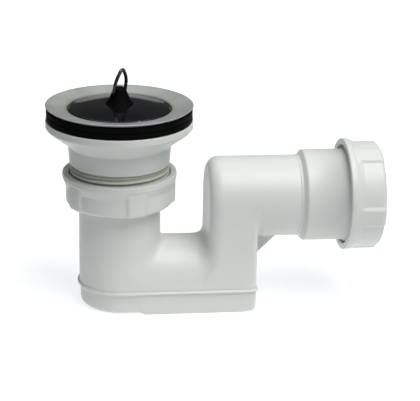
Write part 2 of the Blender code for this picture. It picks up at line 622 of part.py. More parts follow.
def make_screw():
    """Slotted pan-head screw from the flange's cross down through the brass insert."""
    seat = GRID_TOP + SEAT_GAP
    head_top = seat + SCREW_HEAD_HEIGHT
    end = HUB_TOP - INSERT_LENGTH - SCREW_RADIUS * 2
    rounding = SCREW_HEAD_HEIGHT / 2
    profile = [(0.0, head_top)]
    profile += arc((SCREW_HEAD_RADIUS - rounding, head_top - rounding), (rounding, rounding), 90, 0, 3)
    profile += [(SCREW_HEAD_RADIUS, seat), (SCREW_RADIUS, seat), (SCREW_RADIUS, end + SCREW_RADIUS / 3)]
    profile += [(SCREW_RADIUS * 2 / 3, end), (0.0, end)]
    screw = turned("flange_screw", profile, STEEL, steps=SMALL_TURNS)
    reach = SCREW_HEAD_RADIUS * 1.2
    half = SCREW_SLOT / 2
    slot_foot = head_top - SCREW_HEAD_HEIGHT / 2
    slot = box("screw_slot", (-reach, -half, slot_foot), (reach, half, head_top + half))
    combine(screw, slot, "DIFFERENCE")
    return screw


def ring_origin():
    return Vector((0.0, 0.0, PLUG_TOP + PLUG_CROWN + BOSS_HEIGHT - RING_PIVOT_DROP))


def ring_turn():
    return Matrix.Rotation(math.radians(RING_TURN), 4, "Z")


def make_plug():
    """Rubber plug with a domed top, a conical boss and a cross hole for the pull ring."""
    seat = ring_origin()
    crown = PLUG_TOP + PLUG_CROWN
    boss_top = crown + BOSS_HEIGHT
    body_radius = PLUG_RADIUS - PLUG_RIM_WIDTH - SMALL_BORE_CLEARANCE
    rim_low = PLUG_RIM_SEAT
    foot = rim_low - PLUG_BODY_DEPTH
    tip = BOSS_TOP_RADIUS / 3
    profile = [(0.0, boss_top)] + arc((BOSS_TOP_RADIUS - tip, boss_top - tip), (tip, tip), 90, 20, 3)
    profile += [(BOSS_WAIST_RADIUS, crown + BOSS_WAIST_HEIGHT), (BOSS_BASE_RADIUS, crown)]
    dome_steps = 4
    shoulder = PLUG_RADIUS - PLUG_RIM_WIDTH / 2
    for step in range(1, dome_steps + 1):
        share = step / dome_steps
        radius = BOSS_BASE_RADIUS + (shoulder - BOSS_BASE_RADIUS) * share
        profile.append((radius, crown - (PLUG_CROWN - SEAT_GAP) * share * share))
    profile += [(PLUG_RADIUS, PLUG_TOP - SEAT_GAP), (PLUG_RADIUS, rim_low), (body_radius, rim_low)]
    profile += [(body_radius - PLUG_BODY_TAPER, foot), (body_radius - PLUG_BODY_TAPER - WALL, foot)]
    hollow = rim_low - WALL / 2
    profile += [(body_radius - PLUG_BODY_TAPER - WALL, hollow), (0.0, hollow)]
    plug = turned("plug", profile, PLUG_BLACK)
    hole = RING_WIRE_RADIUS + SMALL_BORE_CLEARANCE
    reach = BOSS_BASE_RADIUS
    cross = [(0.0, reach), (hole, reach), (hole, -reach), (0.0, -reach)]
    cross = turned("ring_hole", cross, None, seat, (0.0, 0.0, 0.0), steps=12)
    cross.rotation_mode = "QUATERNION"
    cross.rotation_quaternion = (ring_turn() @ Matrix.Rotation(math.radians(90), 4, "Y")).to_quaternion()
    combine(plug, cross, "DIFFERENCE")
    return plug


def ring_points():
    """Centre line of the pull ring: in at one side of the boss, over the apex and in at the other side."""
    half, top = RING_HALF_WIDTH, RING_HEIGHT - RING_WIRE_RADIUS
    inner = RING_HALF_WIDTH * RING_END_SHARE
    bend = RING_WIRE_RADIUS * RING_BEND_WIRES
    side = [(-inner, 0.0), (-half + bend, 0.0)]
    side += arc((-half + bend, bend), (bend, bend), 270, 180, 4)[1:]
    shoulder = top * RING_SHOULDER_SHARE
    side += [(-half, shoulder)]
    apex_radius = RING_HALF_WIDTH * RING_CAP_SHARE
    lean = math.degrees(math.atan2(half - apex_radius, top - apex_radius - shoulder))
    cap = arc((0.0, top - apex_radius), (apex_radius, apex_radius), 180 - lean, 90, 4)
    side += cap
    return side + [(-x, z) for x, z in reversed(side[:-1])]


def make_pull_ring():
    """Wire loop standing on the boss, free to swing about its two ends."""
    curve = bpy.data.curves.new("pull_ring_path", "CURVE")
    curve.dimensions = "3D"
    curve.bevel_depth = RING_WIRE_RADIUS
    curve.bevel_resolution = 2
    curve.use_fill_caps = True
    points = ring_points()
    spline = curve.splines.new("POLY")
    spline.points.add(len(points) - 1)
    for point, (x, z) in zip(spline.points, points):
        point.co = (x, 0.0, z, 1.0)
    ring = bpy.data.objects.new("pull_ring", curve)
    PARTS.objects.link(ring)
    curve.materials.append(RING_BLACK)
    ring.location = ring_origin()
    ring.rotation_mode = "QUATERNION"
    lean = Matrix.Rotation(math.radians(RING_LEAN), 4, "X")
    ring.rotation_quaternion = (ring_turn() @ lean).to_quaternion()
    return ring


def build():
    make_trap_body()
    make_base_cap()
    foot = (0.0, 0.0, INLET_NUT_FOOT)
    upright = (0.0, 0.0, 0.0)
    make_nut("inlet_nut", INLET_TUBE_RADIUS, INLET_NUT_LENGTH, foot, upright, INLET_NUT_TURN)
    make_slip_ring("inlet_slip_ring", INLET_TUBE_RADIUS, foot, upright)
    make_seal("inlet_seal", INLET_TUBE_RADIUS, foot, upright)
    end = (OUTLET_NUT_END, 0.0, OUTLET_AXIS_HEIGHT)
    make_nut("outlet_nut", WASTE_PIPE_RADIUS, OUTLET_NUT_LENGTH, end, TO_INLET, OUTLET_NUT_TURN)
    make_slip_ring("outlet_slip_ring", WASTE_PIPE_RADIUS, end, TO_INLET)
    make_seal("outlet_seal", WASTE_PIPE_RADIUS, end, TO_INLET)
    make_waste_body()
    make_screw_insert()
    make_washer("lower_washer", LOWER_WASHER_FOOT)
    make_washer("upper_washer", UPPER_WASHER_FOOT)
    make_flange()
    make_screw()
    make_plug()
    make_pull_ring()


build()
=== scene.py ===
# %% [markdown]
# A white polypropylene shower trap with its waste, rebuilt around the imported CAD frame.
# The frame gives every piece its place. This file gives each piece the soft edges, threads,
# grip pockets and finishes that the real mouldings, pressing and rubber parts have.

# %% Load the frame
import itertools
import math

import bmesh
import bpy
import numpy as np
from mathutils import Matrix, Vector


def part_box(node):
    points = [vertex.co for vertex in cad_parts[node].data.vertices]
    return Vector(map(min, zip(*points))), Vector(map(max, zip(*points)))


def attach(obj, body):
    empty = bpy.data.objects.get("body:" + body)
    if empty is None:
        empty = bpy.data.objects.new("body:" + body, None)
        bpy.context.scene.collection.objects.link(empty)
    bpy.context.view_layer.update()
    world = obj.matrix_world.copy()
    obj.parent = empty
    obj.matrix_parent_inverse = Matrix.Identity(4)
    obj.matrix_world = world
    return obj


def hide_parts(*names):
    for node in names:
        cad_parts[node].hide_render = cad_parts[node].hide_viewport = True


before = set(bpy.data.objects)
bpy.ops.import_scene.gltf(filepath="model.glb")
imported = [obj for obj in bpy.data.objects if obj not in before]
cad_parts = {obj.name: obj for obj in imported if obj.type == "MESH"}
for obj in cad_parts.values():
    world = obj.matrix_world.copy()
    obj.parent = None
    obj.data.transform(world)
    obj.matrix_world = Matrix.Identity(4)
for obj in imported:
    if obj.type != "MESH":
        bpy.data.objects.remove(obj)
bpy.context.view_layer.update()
MM = 0.001
print("nodes:", sorted(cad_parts))

# %% [markdown]
# The photograph was taken from slightly above and a little to the left of the trap's front, with
# a long lens. The camera is placed by its position and its three axes, so that the picture's
# roll of about one degree is kept too. The lens shift moves the frame by two pixels.

# %% Camera
PICTURE_WIDTH = 420
FOCAL_PIXELS = 1349.33
SENSOR = 36.0
FROM_DIRECTION = math.radians(-7.01)
ABOVE = math.radians(20.30)
ROLL = math.radians(-1.31)
DISTANCE = 0.65882
TARGET = Vector((0.045, 0.0, 0.050))
OFF_CENTRE = (2.01, 2.21)
NEAREST_SEEN = 0.01


def place_camera():
    flat = math.cos(ABOVE)
    away = Vector((math.sin(FROM_DIRECTION) * flat, -math.cos(FROM_DIRECTION) * flat, math.sin(ABOVE)))
    level = Vector((math.cos(FROM_DIRECTION), math.sin(FROM_DIRECTION), 0.0))
    upward = level.cross(-away)
    right = level * math.cos(ROLL) - upward * math.sin(ROLL)
    top = level * math.sin(ROLL) + upward * math.cos(ROLL)
    lens = bpy.data.cameras.new("photo_camera")
    lens.sensor_width = SENSOR
    lens.sensor_fit = "HORIZONTAL"
    lens.lens = FOCAL_PIXELS * SENSOR / PICTURE_WIDTH
    lens.shift_x = -OFF_CENTRE[0] / PICTURE_WIDTH
    lens.shift_y = OFF_CENTRE[1] / PICTURE_WIDTH
    lens.clip_start = NEAREST_SEEN
    camera = bpy.data.objects.new("photo_camera", lens)
    bpy.context.scene.collection.objects.link(camera)
    turn = Matrix((right, top, away)).transposed().to_4x4()
    camera.matrix_world = Matrix.Translation(TARGET + away * DISTANCE) @ turn
    bpy.context.scene.camera = camera
    return camera


camera = place_camera()
print("camera at", tuple(round(value, 4) for value in camera.matrix_world.translation))

# %% [markdown]
# A plain studio: a wide softbox overhead, a smaller key light high at the front on the right, two
# weak fills and a faint sky. Single lamps were chosen over an environment picture, because each
# can be set by itself until the tones agree with the photograph. Each has its place and width in
# metres and its power in watts.

# %% Studio
scene = bpy.context.scene
scene.view_settings.view_transform = "Standard"
scene.view_settings.look = "None"

SKY_COLOUR = (0.96, 0.98, 1.0)
SKY_STRENGTH = 0.09
SOFTBOXES = {
    "overhead_softbox": ((0.05, 0.45, 1.40), 1.60, 9.3),
    "key_softbox": ((0.42, -0.46, 1.12), 0.90, 16.2),
    "right_fill": ((0.45, -0.85, 0.32), 0.50, 0.5),
    "left_fill": ((-0.75, -0.60, 0.34), 0.50, 0.7),
}


def light_the_sky():
    sky = bpy.data.worlds.new("studio_sky")
    sky.use_nodes = True
    back = sky.node_tree.nodes["Background"]
    back.inputs["Color"].default_value = (*SKY_COLOUR, 1.0)
    back.inputs["Strength"].default_value = SKY_STRENGTH
    scene.world = sky


def hang_softbox(name, place, width, power):
    lamp = bpy.data.lights.new(name, "AREA")
    lamp.shape = "SQUARE"
    lamp.size = width
    lamp.energy = power
    box = bpy.data.objects.new(name, lamp)
    box.location = place
    aim = TARGET - Vector(place)
    box.rotation_euler = aim.to_track_quat("-Z", "Y").to_euler()
    scene.collection.objects.link(box)


light_the_sky()
for name, (place, width, power) in SOFTBOXES.items():
    hang_softbox(name, place, width, power)
print("softboxes:", len(SOFTBOXES))

# %% [markdown]
# Every finish is a small node graph on one Principled shader. These helpers start a material and
# add a noise that a colour, a roughness or a bump can read. Noise is measured in the piece's own
# metres, so a scale of 1000 gives marks about a millimetre across. Its values gather round the
# middle, which is why only the stretch from 0.3 to 0.7 is spread over a range.

# %% Material helpers
NOISE_LOW, NOISE_HIGH = 0.3, 0.7


def set_inputs(node, values):
    for name, value in values.items():
        node.inputs[name].default_value = value


def start_finish(name):
    made = bpy.data.materials.new(name)
    made.use_nodes = True
    return made, made.node_tree, made.node_tree.nodes["Principled BSDF"]


def add_noise(graph, scale, detail=3.0, stretch=(1.0, 1.0, 1.0)):
    where = graph.nodes.new("ShaderNodeTexCoord")
    mapping = graph.nodes.new("ShaderNodeMapping")
    noise = graph.nodes.new("ShaderNodeTexNoise")
    set_inputs(mapping, {"Scale": stretch})
    set_inputs(noise, {"Scale": scale, "Detail": detail})
    graph.links.new(where.outputs["Object"], mapping.inputs["Vector"])
    graph.links.new(mapping.outputs["Vector"], noise.inputs["Vector"])
    return noise.outputs["Fac"]


def spread(graph, fac, low, high, start=NOISE_LOW, end=NOISE_HIGH):
    """Maps a stretch of a noise onto a range of values."""
    ranged = graph.nodes.new("ShaderNodeMapRange")
    set_inputs(ranged, {"From Min": start, "From Max": end, "To Min": low, "To Max": high})
    graph.links.new(fac, ranged.inputs["Value"])
    return ranged.outputs["Result"]


def tint(graph, fac, first, second):
    ramp = graph.nodes.new("ShaderNodeValToRGB")
    for stop, place, colour in zip(ramp.color_ramp.elements, (NOISE_LOW, NOISE_HIGH), (first, second)):
        stop.position = place
        stop.color = (*colour, 1.0)
    graph.links.new(fac, ramp.inputs["Fac"])
    return ramp.outputs["Color"]


def raise_grain(graph, shader, fac, strength, depth):
    bump = graph.nodes.new("ShaderNodeBump")
    set_inputs(bump, {"Strength": strength, "Distance": depth})
    graph.links.new(fac, bump.inputs["Height"])
    graph.links.new(bump.outputs["Normal"], shader.inputs["Normal"])


# %% [markdown]
# The waste's thread grooves and the flange's edge round the plug are darkened with painted shade,
# in an olive colour that also stands for a little dirt. It could be painted as a picture, but here
# each point of a mesh carries a number, written by a formula later on, and the finish goes over to
# the darker colour by as much.


# %% Helper for painted shade and dirt
def shade_and_dirt_mix(graph, bare_colour, marked_colour):
    """The bare colour, going over to a darker colour where a piece's points are marked: painted shade, with a
    little grime.
    """
    mark = graph.nodes.new("ShaderNodeAttribute")
    mark.attribute_name = "shade_and_dirt"
    mixed = graph.nodes.new("ShaderNodeMix")
    mixed.data_type = "RGBA"
    graph.links.new(mark.outputs["Fac"], mixed.inputs["Factor"])
    graph.links.new(bare_colour, mixed.inputs["A"])
    mixed.inputs["B"].default_value = (*marked_colour, 1.0)
    return mixed.outputs["Result"]


# %% [markdown]
# Polypropylene is a milky plastic: light goes a little way in and comes out again, so it gets a
# weak subsurface. The colour is a slightly green-grey white with very faint clouds from the flow
# in the mould, and the satin skin is a fine, shallow grain. In the grooves of the waste's thread
# it goes over to a dull olive: painted shade, with some dirt.

# %% White polypropylene
MILKY_WHITES = ((0.578, 0.596, 0.575), (0.598, 0.614, 0.596))
# Painted shade in the thread's grooves, olive for a little dirt as well.
THREAD_SHADE_AND_DIRT = (0.42, 0.42, 0.34)


def finish_polypropylene():
    made, graph, shader = start_finish("white_polypropylene")
    clouds = add_noise(graph, scale=40.0, detail=2.0)
    bare_colour = tint(graph, clouds, *MILKY_WHITES)
    # Towards the grooves' roots the colour goes over to painted shade.
    graph.links.new(shade_and_dirt_mix(graph, bare_colour, THREAD_SHADE_AND_DIRT), shader.inputs["Base Color"])
    skin = add_noise(graph, scale=420.0, detail=5.0)
    graph.links.new(spread(graph, skin, low=0.38, high=0.45), shader.inputs["Roughness"])
    grain = add_noise(graph, scale=1500.0)
    raise_grain(graph, shader, grain, strength=0.06, depth=0.00005)
    set_inputs(shader, {"Subsurface Weight": 0.12, "Subsurface Radius": (1.0, 0.95, 0.85)})
    set_inputs(shader, {"Subsurface Scale": 0.0015, "IOR": 1.49})
    return made


WHITE_PLASTIC = (finish_polypropylene(), "white_plastic")
print("finish:", WHITE_PLASTIC[0].name)

# %% [markdown]
# The flange is pressed from stainless sheet and polished while it turns, so its fine marks run
# in rings. A wave texture in ring form, bent by a little noise, gives both the bump and the small
# changes of roughness. A larger, softer noise leaves the water-dulled patches of a fitted waste.

# %% Polished stainless steel
STEEL_GREYS = ((0.46, 0.475, 0.46), (0.52, 0.535, 0.52))
# Painted shade at the dish's edge round the plug, olive for a little dirt as well.
DISH_SHADE_AND_DIRT = (0.15, 0.16, 0.08)


def polishing_rings(graph):
    where = graph.nodes.new("ShaderNodeTexCoord")
    rings = graph.nodes.new("ShaderNodeTexWave")
    rings.wave_type = "RINGS"
    rings.rings_direction = "Z"
    set_inputs(rings, {"Scale": 700.0, "Distortion": 1.4, "Detail": 3.0, "Detail Scale": 2.0})
    graph.links.new(where.outputs["Object"], rings.inputs["Vector"])
    return rings.outputs["Fac"]


def finish_stainless():
    made, graph, shader = start_finish("polished_stainless")
    rings = polishing_rings(graph)
    patches = add_noise(graph, scale=90.0, detail=4.0)
    bare_colour = tint(graph, patches, *STEEL_GREYS)
    # At the dish's edge round the plug the steel goes over to painted shade.
    graph.links.new(shade_and_dirt_mix(graph, bare_colour, DISH_SHADE_AND_DIRT), shader.inputs["Base Color"])
    dulled = graph.nodes.new("ShaderNodeMath")
    dulled.operation = "ADD"
    graph.links.new(spread(graph, patches, low=0.48, high=0.56), dulled.inputs[0])
    graph.links.new(spread(graph, rings, low=0.0, high=0.05, start=0.0, end=1.0), dulled.inputs[1])
    graph.links.new(dulled.outputs["Value"], shader.inputs["Roughness"])
    raise_grain(graph, shader, rings, strength=0.05, depth=0.00004)
    set_inputs(shader, {"Metallic": 1.0})
    return made


STAINLESS = (finish_stainless(), "stainless")
print("finish:", STAINLESS[0].name)

# %% [markdown]
# The washers, the seals and the plug's boss are matt black rubber. Its speckle is that of a ground
# surface. A rubber this dull hardly mirrors anything, so its specular level is nearly nothing.

# %% Matt rubber
RUBBER_BLACKS = ((0.0012, 0.0012, 0.0012), (0.0035, 0.0035, 0.0035))


def finish_matt_rubber():
    made, graph, shader = start_finish("matt_black_rubber")
    speckle = add_noise(graph, scale=2600.0, detail=2.0)
    graph.links.new(tint(graph, speckle, *RUBBER_BLACKS), shader.inputs["Base Color"])
    wear = add_noise(graph, scale=300.0)
    graph.links.new(spread(graph, wear, low=0.50, high=0.68), shader.inputs["Roughness"])
    raise_grain(graph, shader, speckle, strength=0.25, depth=0.00008)
    set_inputs(shader, {"Specular IOR Level": 0.03})
    return made


BLACK_RUBBER = (finish_matt_rubber(), "black_rubber")
print("finish:", BLACK_RUBBER[0].name)

# %% [markdown]
# The plug's disc is moulded in a polished tool, so it mirrors what stands round it, and only fine
# dust marks break the gloss. The pull ring is a wire with a smooth black coat, for which the
# shader's own coat layer is enough.

# %% Gloss rubber and coated wire
GLOSS_BLACKS = ((0.003, 0.003, 0.0035), (0.006, 0.006, 0.007))
WIRE_BLACKS = ((0.002, 0.002, 0.002), (0.004, 0.004, 0.004))


def finish_gloss_rubber():
    made, graph, shader = start_finish("gloss_black_rubber")
    haze = add_noise(graph, scale=120.0, detail=4.0)
    graph.links.new(tint(graph, haze, *GLOSS_BLACKS), shader.inputs["Base Color"])
    dust = add_noise(graph, scale=1400.0, detail=2.0)
    dusted = spread(graph, dust, low=0.03, high=0.12, start=0.45, end=0.80)
    graph.links.new(dusted, shader.inputs["Roughness"])
    raise_grain(graph, shader, haze, strength=0.05, depth=0.0002)
    set_inputs(shader, {"IOR": 1.42})
    return made


def finish_coated_wire():
    made, graph, shader = start_finish("gloss_black_wire")
    ripple = add_noise(graph, scale=500.0)
    graph.links.new(tint(graph, ripple, *WIRE_BLACKS), shader.inputs["Base Color"])
    graph.links.new(spread(graph, ripple, low=0.06, high=0.14), shader.inputs["Roughness"])
    raise_grain(graph, shader, ripple, strength=0.06, depth=0.00008)
    set_inputs(shader, {"Coat Weight": 0.5, "Coat Roughness": 0.04})
    return made


GLOSS_RUBBER = (finish_gloss_rubber(), "gloss_rubber")
BLACK_WIRE = (finish_coated_wire(), "black_wire")
print("finishes:", GLOSS_RUBBER[0].name, BLACK_WIRE[0].name)

# %% [markdown]
# The screw goes into a turned brass insert. A lathe leaves fine rings along the work, so the noise
# for its grain is squeezed hard in the direction of the axis.

# %% Turned brass
BRASS_YELLOWS = ((0.60, 0.41, 0.15), (0.76, 0.56, 0.26))
LATHE_STRETCH = (0.2, 0.2, 12.0)


def finish_brass():
    made, graph, shader = start_finish("turned_brass")
    tarnish = add_noise(graph, scale=260.0, detail=4.0)
    graph.links.new(tint(graph, tarnish, *BRASS_YELLOWS), shader.inputs["Base Color"])
    graph.links.new(spread(graph, tarnish, low=0.22, high=0.38), shader.inputs["Roughness"])
    turned_marks = add_noise(graph, scale=300.0, detail=2.0, stretch=LATHE_STRETCH)
    raise_grain(graph, shader, turned_marks, strength=0.15, depth=0.00006)
    set_inputs(shader, {"Metallic": 1.0})
    return made


BRASS = finish_brass()
print("finish:", BRASS.name)

# %% [markdown]
# The floor is plain and pale: a white card on a light grey table, both with the faint mottling of
# matt paper. The photograph's background is pure white, and lamps strong enough to whiten a card
# would burn out the trap, so the card glows like a light table instead. Its far edge turns up in a
# dim strip for the steel and the gloss rubber to mirror. All of it belongs to the stage, not to
# the trap. Corners are in metres. Each sheet has its finish's name, two greys and its glow.

# %% Floor
CARD = ((-0.10, -0.13, 0.0), (0.19, -0.13, 0.0), (0.50, 0.95, 0.0), (-0.22, 0.95, 0.0))
CARD_BACK = ((-0.22, 0.95, 0.0), (0.50, 0.95, 0.0), (0.62, 1.05, 0.24), (-0.34, 1.05, 0.24))
TABLE = ((-4.0, -4.0, -0.002), (4.0, -4.0, -0.002), (4.0, 4.0, -0.002), (-4.0, 4.0, -0.002))
GLOW_COLOUR = (0.965, 0.995, 1.0)
SHEETS = {
    "white_card": (CARD, "studio_card", 0.42, 0.44, 0.71),
    "card_back": (CARD_BACK, "studio_card_back", 0.30, 0.32, 0.16),
    "grey_table": (TABLE, "studio_table", 0.44, 0.46, 0.0),
}


def finish_card(name, dark, pale, glow):
    made, graph, shader = start_finish(name)
    mottling = add_noise(graph, scale=6.0, detail=2.0)
    graph.links.new(tint(graph, mottling, (dark,) * 3, (pale,) * 3), shader.inputs["Base Color"])
    set_inputs(shader, {"Roughness": 0.9, "Specular IOR Level": 0.1})
    set_inputs(shader, {"Emission Color": (*GLOW_COLOUR, 1.0), "Emission Strength": glow})
    return made


def lay_sheet(name, corners, surface):
    sheet = bpy.data.meshes.new(name)
    sheet.from_pydata(corners, [], [(0, 1, 2, 3)])
    sheet.materials.append(surface)
    floor = bpy.data.objects.new(name, sheet)
    scene.collection.objects.link(floor)


for name, (corners, finish, dark, pale, glow) in SHEETS.items():
    lay_sheet(name, corners, finish_card(finish, dark, pale, glow))
print("floor sheets:", list(SHEETS))

# %% [markdown]
# Nearly every piece here is turned: a profile goes round an axis. A sharp edge catches no light,
# so the corners of a profile are rounded first. A Bevel modifier would round a whole piece alike,
# while this helper takes a radius for each corner. Two guard points keep the curve's shading off
# the flats beside it. Profiles are written in millimetres, as radius, height and corner radius.

# %% Round the corners of a profile
EDGE = 0.35
NEARLY_STRAIGHT = math.radians(88)
LONGEST_CUT = 0.45
GUARD = 0.12


def soften(points, edge=EDGE, closed=True, steps=4):
    """Rounds the corners of a profile. A third number in a point is that corner's own radius."""
    flat = [np.array(point[:2], float) for point in points]
    radii = [point[2] if len(point) > 2 else edge for point in points]
    ends = () if closed else (0, len(flat) - 1)
    made = []
    for i, corner in enumerate(flat):
        if i in ends:
            made.append(corner)
            continue
        back, on = flat[i - 1] - corner, flat[(i + 1) % len(flat)] - corner
        length_back, length_on = np.linalg.norm(back), np.linalg.norm(on)
        back, on = back / length_back, on / length_on
        half = math.acos(max(-1.0, min(1.0, float(back @ on)))) / 2
        if half > NEARLY_STRAIGHT or radii[i] <= 0:
            made.append(corner)
            continue
        cut = min(radii[i] / math.tan(half), length_back * LONGEST_CUT, length_on * LONGEST_CUT)
        guard = cut * GUARD
        first, last = corner + back * cut, corner + on * cut
        made.append(corner + back * (cut + guard))
        for step in range(steps + 1):
            s = step / steps
            made.append((1 - s) ** 2 * first + 2 * s * (1 - s) * corner + s * s * last)
        made.append(corner + on * (cut + guard))
    return np.array(made)


print("points in a softened square:", len(soften([(0, 0), (10, 0), (10, 10), (0, 10)])))

# %% [markdown]
# A Screw modifier would turn a plain profile, but threads and grip pockets change with the angle.
# So one helper takes a table with a radius and a height for every level and every angle, and
# skins it. Levels on the axis shrink to a single point, which closes a piece without a flat cap.

# %% Skin a table of levels
TURNS = 192
TINY = 1e-6


def level_table(profile, turns=TURNS):
    return np.repeat(np.array(profile, float)[:, None, :], turns, axis=1)


def skin_levels(table, closed=True):
    """Points in millimetres and faces for a table of (radius, height) by level and angle."""
    turns = table.shape[1]
    angles = np.arange(turns) * 2 * math.pi / turns
    points, rings = [], []
    for level in table:
        if np.all(level[:, 0] < TINY):
            rings.append([len(points)] * turns)
            points.append((0.0, 0.0, float(level[0, 1])))
            continue
        rings.append(list(range(len(points), len(points) + turns)))
        points += list(zip(level[:, 0] * np.cos(angles), level[:, 0] * np.sin(angles), level[:, 1]))
    faces = []
    pairs = zip(rings, rings[1:] + rings[:1]) if closed else zip(rings, rings[1:])
    for low, high in pairs:
        for a in range(turns):
            b = (a + 1) % turns
            face = list(dict.fromkeys((low[a], low[b], high[b], high[a])))
            if len(face) > 2:
                faces.append(face)
    return points, faces


print("angles in a turn:", TURNS)

# %% [markdown]
# Each skin then becomes a piece: a mesh in metres, with its normals turned outward and its shading
# smooth. It rides on one of the frame's bodies, so the joints move it, and it stands in for the
# plain solid of its node. A finish is a material and a slot name, and the piece takes the material.

# %% Make a piece
UPRIGHT = Matrix.Identity(4)


def mark_shade_and_dirt(piece, shares):
    """Writes how much painted shade and grime each point gets, as an attribute that the finishes read."""
    marks = piece.data.attributes.new("shade_and_dirt", "FLOAT", "POINT")
    marks.data.foreach_set("value", np.array(shares, float))


def add_piece(name, skin, finish, body, node, place=UPRIGHT):
    """A smooth mesh piece from millimetre points and faces, riding on a body in a node's stead."""
    points, faces = skin
    surface, slot = finish
    mesh = bpy.data.meshes.new(name)
    mesh.from_pydata([place @ (Vector(point) * MM) for point in points], [], faces)
    shape = bmesh.new()
    shape.from_mesh(mesh)
    bmesh.ops.recalc_face_normals(shape, faces=shape.faces)
    shape.to_mesh(mesh)
    shape.free()
    mesh.polygons.foreach_set("use_smooth", [True] * len(mesh.polygons))
    mesh.materials.append(surface)
    piece = bpy.data.objects.new(name, mesh)
    scene.collection.objects.link(piece)
    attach(piece, body)
    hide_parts(node)
    print(f"{name}: {len(mesh.polygons)} faces")
    return piece


def turn_piece(name, profile, edge, finish, body, node, place=UPRIGHT):
    """A piece that is the same all round, from its closed profile."""
    return add_piece(name, skin_levels(level_table(soften(profile, edge))), finish, body, node, place)


# %% [markdown]
# The trap's body is one moulding: a tube, a round vault, a flat-sided riser and a pipe that run
# into each other with soft fillets. Booleans would leave hard creases there. Instead each form is
# written as a distance field, a formula that is negative inside and grows with the distance from
# the skin. Two fields join with a smooth minimum, which makes the fillet by itself.

# %% Field helpers and the trap's plan, in millimetres
HALF_DEPTH = 19.8
RISER = (42.1, 65.4)
RISER_ROUNDS = (6.0, 2.6)
SKIRT_PROUD = 0.1


def plan_field(x, y, inset=0.0):
    """Seen from above: round under the inlet, straight along the vault, rounded at the far end."""
    half = HALF_DEPTH + SKIRT_PROUD - inset
    end = RISER[1] + SKIRT_PROUD - inset
    corner = RISER_ROUNDS[1]
    far = np.hypot(np.maximum(x - end + corner, 0), np.maximum(np.abs(y) - half + corner, 0)) - corner
    far = np.maximum(far, np.maximum(x - end, np.abs(y) - half))
    return np.minimum(np.hypot(x, y) - half, np.maximum(far, -x))


def rounded_corner(a, b, radius):
    """The field of a convex corner between two faces, rounded to a radius."""
    outside = np.hypot(np.maximum(a + radius, 0), np.maximum(b + radius, 0))
    return outside - radius + np.minimum(np.maximum(a, b) + radius, 0)


def smooth_join(a, b, reach):
    near = np.maximum(reach - np.abs(a - b), 0) / reach
    return np.minimum(a, b) - near * near * reach / 4


print("trap plan:", 2 * HALF_DEPTH, "mm deep, far face at", RISER[1], "mm")

# %% [markdown]
# These are the four forms that the mouldmaker joined: the inlet tube with its slight taper, the
# round vault, the riser with flat sides and rounded corners, and the outlet pipe. A small gusset
# stiffens the corner under the pipe. The riser and the pipe take an inset, because the waterway
# follows them on the inside.

# %% Forms of the trap body
TUBE_RADIUS = 19.5
TUBE_TAPER = 44.8
INLET_TOP = 79.2
VAULT_AXIS = 13.4
VAULT_RADIUS = 19.7
VAULT_SHORT = 5.0
OUTLET_HEIGHT = 53.4
RISER_ABOVE = 1.0
LEAST_ROUND = 0.3
PIPE_RADIUS = 19.75
PIPE_END = 88.3
GUSSET_LEG = 12.2
GUSSET_HALF = 1.3
GUSSET_SUNK = 4.0
GUSSET_TOP = 8.0


def tube_field(x, y, z):
    radius = TUBE_RADIUS + (HALF_DEPTH - TUBE_RADIUS) * np.clip((INLET_TOP - z) / TUBE_TAPER, 0, 1)
    return np.maximum(np.hypot(x, y) - radius, z - INLET_TOP)


def vault_field(x, y, z):
    vault = np.hypot(y, np.maximum(z - VAULT_AXIS, 0)) - VAULT_RADIUS
    return np.maximum(vault, np.maximum(-x, x - RISER[1] + VAULT_SHORT))


def riser_field(x, y, z, inset=0.0):
    side = np.abs(y) - (HALF_DEPTH - inset)
    near = rounded_corner(RISER[0] + inset - x, side, RISER_ROUNDS[0] - inset / 2)
    far = rounded_corner(x - RISER[1] + inset, side, max(RISER_ROUNDS[1] - inset, LEAST_ROUND))
    return np.maximum(np.maximum(near, far), z - OUTLET_HEIGHT + RISER_ABOVE)


def pipe_field(x, y, z, inset=0.0):
    out = np.hypot(y, z - OUTLET_HEIGHT) - (PIPE_RADIUS - inset)
    near = rounded_corner(RISER[0] + inset - x, out, RISER_ROUNDS[0] - inset / 2)
    return np.maximum(near, x - PIPE_END - inset)


def gusset_field(x, y, z):
    foot = OUTLET_HEIGHT - PIPE_RADIUS - GUSSET_LEG
    slope = ((x - RISER[1]) - (z - foot)) / math.sqrt(2)
    ends = np.maximum(RISER[1] - GUSSET_SUNK - x, z - OUTLET_HEIGHT + GUSSET_TOP)
    return np.maximum(np.maximum(np.abs(y) - GUSSET_HALF, slope), ends)


print("pipe axis at", OUTLET_HEIGHT, "mm")

# %% [markdown]
# Now the forms are joined, each with its own fillet. The pipe meets the riser in a crease on the
# inlet's side and in a fillet that grows towards the outlet. A straight skirt carries the foot,
# with a spigot inside the base cap. The waterway is joined alike and taken out of the sum.

# %% Join the forms and bore them
VAULT_FILLET = 6.0
TUBE_FILLET = 3.6
CREASE = 0.05
PIPE_FILLET = 1.55
FILLET_START = 8.0
FILLET_RUN = 6.0
GUSSET_FILLET = 1.6
SKIRT_FOOT = 11.3
SKIRT_OVERLAP = 0.2
SPIGOT_FOOT = 10.4
SPIGOT_INSET = 1.4
SPIGOT_OVERLAP = 1.0
WALL = 2.3
TUBE_WALL = 2.0
PARTITION_FOOT = 15.95
PARTITION_LAP = 3.0
VAULT_BORE_REACH = 8.0


